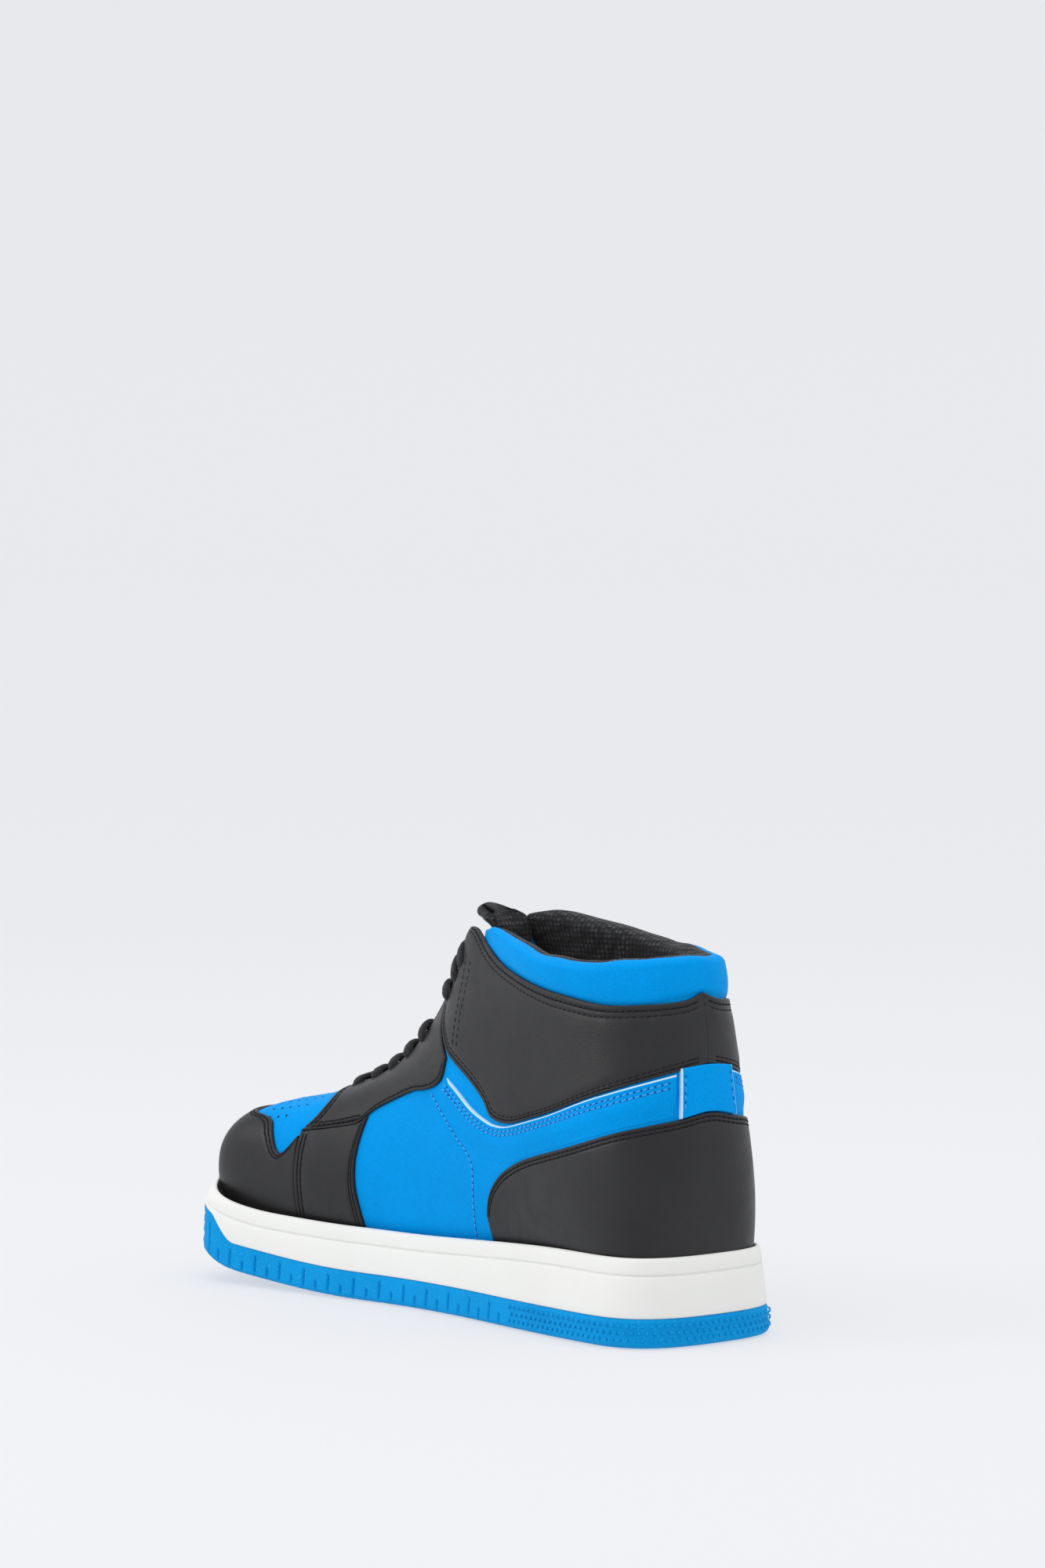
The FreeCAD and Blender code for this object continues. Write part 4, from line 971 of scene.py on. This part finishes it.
def lace_mesh():
    """Flat braided lace: oval section that lies against the surface, with raised plaits."""
    raw = nurbs_line(ROUTE)
    run = arc(raw)
    n = int(run[-1] / LACE_STEP)
    at = np.linspace(0, run[-1], n)
    p = at_length(at, run, raw)
    ga, gv = np.meshgrid(np.linspace(0.25, 0.72, 95), np.linspace(0.70, 1.30, 61), indexing="ij")
    sp, sn = frame_at(ga.ravel(), gv.ravel())
    near = np.array([np.argmin(((sp - q) ** 2).sum(1)) for q in p])
    height = ((p - sp[near]) * sn[near]).sum(1)
    normal = sn[near]
    for _ in range(12):
        normal[1:-1] = (normal[:-2] + normal[1:-1] + normal[2:]) / 3
        height[1:-1] = (height[:-2] + height[1:-1] + height[2:]) / 3
    p = p - unit(normal) * (np.clip(height - 1.5, 0, 8) * SETTLE)[:, None]
    tangent = unit(np.gradient(p, axis=0))
    normal = unit(normal - (normal * tangent).sum(1, keepdims=True) * tangent)
    across = np.cross(tangent, normal)
    m = 28
    A, K = np.meshgrid(at, np.linspace(0, 2 * math.pi, m, endpoint=False), indexing="ij")
    turns = A * 2 * math.pi / PLAIT
    plait = 0.13 * np.sin(turns + 5 * K) * np.sin(turns - 5 * K)
    V = (p[:, None] + across[:, None] * (power(np.cos(K), 0.85) * (HALF_WIDE + plait))[..., None]
         + normal[:, None] * (power(np.sin(K), 0.85) * (HALF_THICK + plait * 1.6))[..., None])
    obj = mesh_object("lace_look", V.reshape(-1, 3), closed_tube(n, m), "shoe", LACE_MAT)
    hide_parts("lace")


lace_mesh()
EYES = [(a, v, mirror) for a, v in EYELETS for mirror in (1, -1)]
# the dark centre of each eyelet is painted shade inside the hole
v, f, i = discs(EYES, 2.5, OVER + 0.12, rim=0.7)
mesh_object("eyelet_holes", v, f, "shoe", [BLACK, HOLE_SHADE], i)


# ---- sole
# the cup's floor above the ground line, pitches of the tread and the studs, the lower edge's height and
# how much fuller that edge is round the toe
FLOOR = 15.2
TREAD_PITCH = 7.4
STUD_STEP = 3.3
BUMPER_LIFT = 0.9
EDGE_LIFT = 1.9


def half_width(x):
    """The sole's half width, rounded off at the heel and the toe."""
    rows_x = (-HALF, -105, -60, -20, 20, 60, 95, HALF)
    rows_w = (43.0, 43.0, 41.5, 38.0, 39.0, 47.0, 48.5, 46.0)
    width = sum(np.interp(x + k, rows_x, rows_w) for k in (-16, -8, 0, 8, 16)) / 5.0
    back = np.clip((x + HALF) / 34.0, 0, 1)
    front = np.clip((HALF - x) / 50.0, 0, 1)
    width = width * (1.0 - (1.0 - back) ** 2.8) ** (1 / 2.8)
    return width * (1.0 - (1.0 - front) ** 3.0) ** (1 / 3.0)


def underside(x):
    return ground(x) + 4.0 * (np.maximum(0.0, x - 118.0) / (HALF - 118.0)) ** 2


def band_top(x):
    return ground(x) + 12.0 + 13.0 * smooth((x - 112.0) / 22.0)


def wall_top(x):
    f = smooth((x + 100.0) / 120.0)
    lift = 10.5 * (np.maximum(0.0, x - 90.0) / (HALF - 90.0)) ** 2
    return 36.0 + (31.0 - 36.0) * f + 0.45 * ground(x) + lift


def outline(count):
    """Round the sole from the toe tip, medial side first: points, outward normals, lengths, whole length."""
    turn = np.linspace(0, 2 * math.pi, 6000, endpoint=False)
    x = HALF * np.cos(turn) * (1 - 1e-9)
    side = np.where(np.sin(turn) >= 0, 1.0, -1.0)
    p = np.stack([x, centre_y(x) + side * half_width(x)], 1)
    closed = np.vstack([p, p[:1]])
    run = arc(closed)
    at = np.linspace(0, run[-1], count, endpoint=False)
    q = at_length(at, run, closed)
    k = 9
    pad = np.vstack([q[-k:], q, q[:k]])
    q = sum(pad[i:i + count] for i in range(2 * k + 1)) / (2 * k + 1.0)
    along = unit(np.roll(q, -1, 0) - np.roll(q, 1, 0))
    return q, np.stack([along[:, 1], -along[:, 0]], 1), at, run[-1]


def lean(x, z):
    """How far the wall leans in at height z: more round the toe."""
    toe = smooth((x - 95.0) / 40.0)
    return 3.7 / 36.0 * z * (1.0 - 0.55 * toe) + toe * 4.6 * smooth((z - 33.0) / 15.0)


def build_cup():
    """The white cup: wall, groove under the rolled top, inner face and floor."""
    n = 900
    q, out = outline(n)[:2]
    x = q[:, 0]
    top, low = wall_top(x), band_top(x) + 0.1
    levels = [(low + (top - 9.2 - low) * f, push) for f, push in (
        (0.0, -1.2), (0.0, 0.15), (0.03, 0.32), (0.12, 0.42), (0.35, 0.52), (0.7, 0.52), (1.0, 0.48))]
    levels += [(top - down, push) for down, push in (
        (9.0, 0.45), (8.0, 0.38), (7.55, 0.30), (7.25, -0.12), (7.0, -0.25), (6.75, -0.12), (6.45, 0.28),
        (6.0, 0.34), (4.5, 0.34), (3.0, 0.30), (1.6, 0.16), (0.8, -0.08), (0.3, -0.45), (0.05, -0.95),
        (0.0, -1.3), (0.3, -1.75), (1.2, -2.0), (4.0, -2.1), (12.0, -2.2))]
    levels.append((ground(x) + FLOOR, -2.2))
    V = [np.column_stack([q - out * (lean(x, z) - push)[:, None], z]) for z, push in levels]
    inner = V[-1]
    mid = np.column_stack([inner[:, 0], centre_y(inner[:, 0]), inner[:, 2]])
    V = np.stack(V + [inner * 0.5 + mid * 0.5, inner * 0.02 + mid * 0.98], 1)
    faces = grid_faces(n, V.shape[1], wrap_u=True)
    obj = mesh_object("midsole_look", V.reshape(-1, 3), faces[:, ::-1], "shoe", FOAM)
    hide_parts("midsole_cup")


def groove(at, pitch, width):
    """Share of full depth in grooves that repeat at a pitch."""
    return np.exp(-((at / pitch % 1.0 - 0.5) * pitch / width) ** 2)


def build_outsole():
    """The blue rubber: treaded underside, rounded lower edge, cut band and ridged toe bumper."""
    n = 2000
    q, out, at, total = outline(n)
    x = q[:, 0]
    base, top = underside(x), band_top(x)
    toe = smooth((x - 108.0) / 24.0)
    heel = smooth((-58.0 - x) / 4.0)
    # length from the toe tip, either way round
    s = np.minimum(at, total - at)
    cut = groove(s, TREAD_PITCH, 0.55) * (1 - heel) * (x < 131.0)
    cut_top = np.where(np.floor(s / TREAD_PITCH).astype(int) % 2 == 0, 0.78, 0.48)
    h = top - base
    grow = 1.0 + BUMPER_LIFT * toe
    V = []
    # the lower edge, from 6 mm inside it
    for inset, dz in ((6.0, 0.0), (4.0, 0.0), (2.6, 0.15), (1.6, 0.45), (0.9, 0.95), (0.4, 1.6)):
        z = base + dz * grow + cut * 0.35 * (inset < 3)
        V.append(np.column_stack([q - out * (inset * grow)[:, None], z]))
    for f in (0.04, 0.10, 0.18, 0.26, 0.34, 0.40, 0.46, 0.54, 0.62, 0.70, 0.76, 0.84, 0.92, 0.97, 1.0):
        z = base + EDGE_LIFT * grow + (h - EDGE_LIFT * grow) * f
        up = (z - base) / h
        push = 0.10 - 1.35 * cut * (up < cut_top) * smooth((cut_top - up) / 0.06)
        ridge = np.sin((z - base) * 2 * math.pi / 4.6) * 0.5
        push = push + toe * np.clip(ridge, -0.5, 0.15) * (up < 0.9) * smooth((x - 124.0) / 6.0)
        push = push - 0.5 * smooth((f - 0.92) / 0.08)
        V.append(np.column_stack([q + out * (push - lean(x, z))[:, None], z]))
    V.append(np.column_stack([q - out * (2.6 + lean(x, top))[:, None], top + 0.02]))
    # tread between the lower edges, from the edge to the centre line
    ring = V[0]
    xx = ring[:, 0]
    tread = []
    for f in np.linspace(0.0, 1.0, 16)[1:]:
        y = ring[:, 1] + (centre_y(xx) - ring[:, 1]) * f
        zigzag = 5.0 * np.abs(((y / 14.0) % 2.0) - 1.0)
        depth = 1.5 * groove(xx + zigzag, TREAD_PITCH, 0.75) * smooth(f / 0.08)
        tread.append(np.column_stack([xx, y, underside(xx) + depth]))
    V = np.stack(tread[::-1] + V, 1)
    faces = grid_faces(n, V.shape[1], wrap_u=True)
    obj = mesh_object("outsole_look", V.reshape(-1, 3), faces[:, ::-1], "shoe", RUBBER)
    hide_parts("outsole")
    spots = []
    for row, height in enumerate((3.6, 6.4, 9.2)):
        for a in np.arange(row % 2 * STUD_STEP / 2, total, STUD_STEP):
            i = int(round(a / total * n)) % n
            if heel[i] > 0.95:
                spots.append((q[i], out[i], base[i] + height))
    heel_studs(spots)


def heel_studs(spots, sides=8):
    """Low round studs on the heel's band, each at a point, an outward normal and a height."""
    verts, quads = [], []
    for p, n, height in spots:
        centre = np.array([*(p + n * 0.05), height])
        normal, along = np.array([*n, 0.0]), np.array([-n[1], n[0], 0.0])
        start = len(verts)
        for r, rise in ((0.75, 0.0), (0.60, 0.32), (0.3, 0.5)):
            middle = centre + normal * rise
            verts += [middle + along * c + np.array([0, 0, d]) for c, d in ring_points(r, sides)]
        quads += [(q[0], q[3], q[2], q[1]) for q in ring_quads(3, sides, start)]
        quads.append(tuple(start + 2 * sides + k for k in range(sides)))
    mesh_object("heel_studs", verts, quads, "shoe", RUBBER)


build_cup()
build_outsole()

# ---- CAD nodes that stay, with real materials
KEEP = {"midsole_wedge": FOAM, "lasting_board": BOARD, "sockliner": SOCK, "toe_puff": BOARD,
        "heel_stiffener": BOARD, "lace_tips": TIP_MAT}
for name, mat in KEEP.items():
    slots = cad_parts[name].data.materials
    slots.clear()
    slots.append(mat)


# ---- studio
FLOOR_GAP = 0.0003


def studio():
    """A pale floor that curves up all round into a wall, with a little light of its own."""
    rings = [(0.0, 0.0), (0.6, 0.0), (1.4, 0.0), (2.2, 0.0), (2.6, 0.02), (3.0, 0.10), (3.4, 0.30),
             (3.7, 0.62), (3.9, 1.05), (4.0, 1.6), (4.0, 2.6), (4.0, 3.6)]
    n = 72
    v = [(0, 0, -FLOOR_GAP)] + [(x, y, z - FLOOR_GAP) for r, z in rings[1:] for x, y in ring_points(r, n)]
    f = [(0, 1 + k, 1 + (k + 1) % n) for k in range(n)] + ring_quads(len(rings) - 1, n, 1)
    mesh = bpy.data.meshes.new("backdrop")
    mesh.from_pydata(v, [], f)
    mesh.polygons.foreach_set("use_smooth", np.ones(len(mesh.polygons), bool))
    mat, _, bsdf, _ = shade("backdrop_paper", (0.25, 0.252, 0.26), 0.95, 0.05)
    bsdf.inputs["Emission Color"].default_value = (0.98, 0.985, 1.0, 1)
    bsdf.inputs["Emission Strength"].default_value = 0.59
    mesh.materials.append(mat)
    obj = bpy.data.objects.new("backdrop", mesh)
    bpy.context.scene.collection.objects.link(obj)


def aim(obj, location, direction):
    """Place a light or the camera, looking along a direction, and put it in the scene."""
    obj.location = location
    obj.rotation_mode = "QUATERNION"
    obj.rotation_quaternion = Vector(direction).to_track_quat("-Z", "Y")
    bpy.context.scene.collection.objects.link(obj)


def area(name, location, target, sides, watts):
    light = bpy.data.lights.new(name, "AREA")
    light.shape = "RECTANGLE"
    light.size, light.size_y = sides
    light.energy = watts
    aim(bpy.data.objects.new(name, light), location, np.array(target, float) - np.array(location, float))


studio()
world = bpy.data.worlds.new("studio_world")
world.use_nodes = True
sky = world.node_tree.nodes["Background"]
sky.inputs["Color"].default_value = (0.95, 0.97, 1.0, 1)
sky.inputs["Strength"].default_value = 1.0
bpy.context.scene.world = world
area("overhead", (-0.3, 0.3, 1.9), (0, 0, 0.05), (1.8, 1.8), 9.0)
area("window", (-1.5, -0.6, 1.1), (0, 0, 0.08), (1.2, 1.0), 2.0)
area("toe_side", (0.9, 1.6, 0.9), (0, 0, 0.06), (1.0, 0.9), 9.0)

camera = bpy.data.cameras.new("camera")
camera.lens = 114.8
camera.sensor_width = 36.0
camera.clip_start, camera.clip_end = 0.05, 30.0
cam = bpy.data.objects.new("camera", camera)
aim(cam, (-1.6167, 1.3567, 0.3144), (0.7604, -0.6479, -0.0446))
bpy.context.scene.camera = cam
bpy.context.scene.view_settings.view_transform = "Standard"
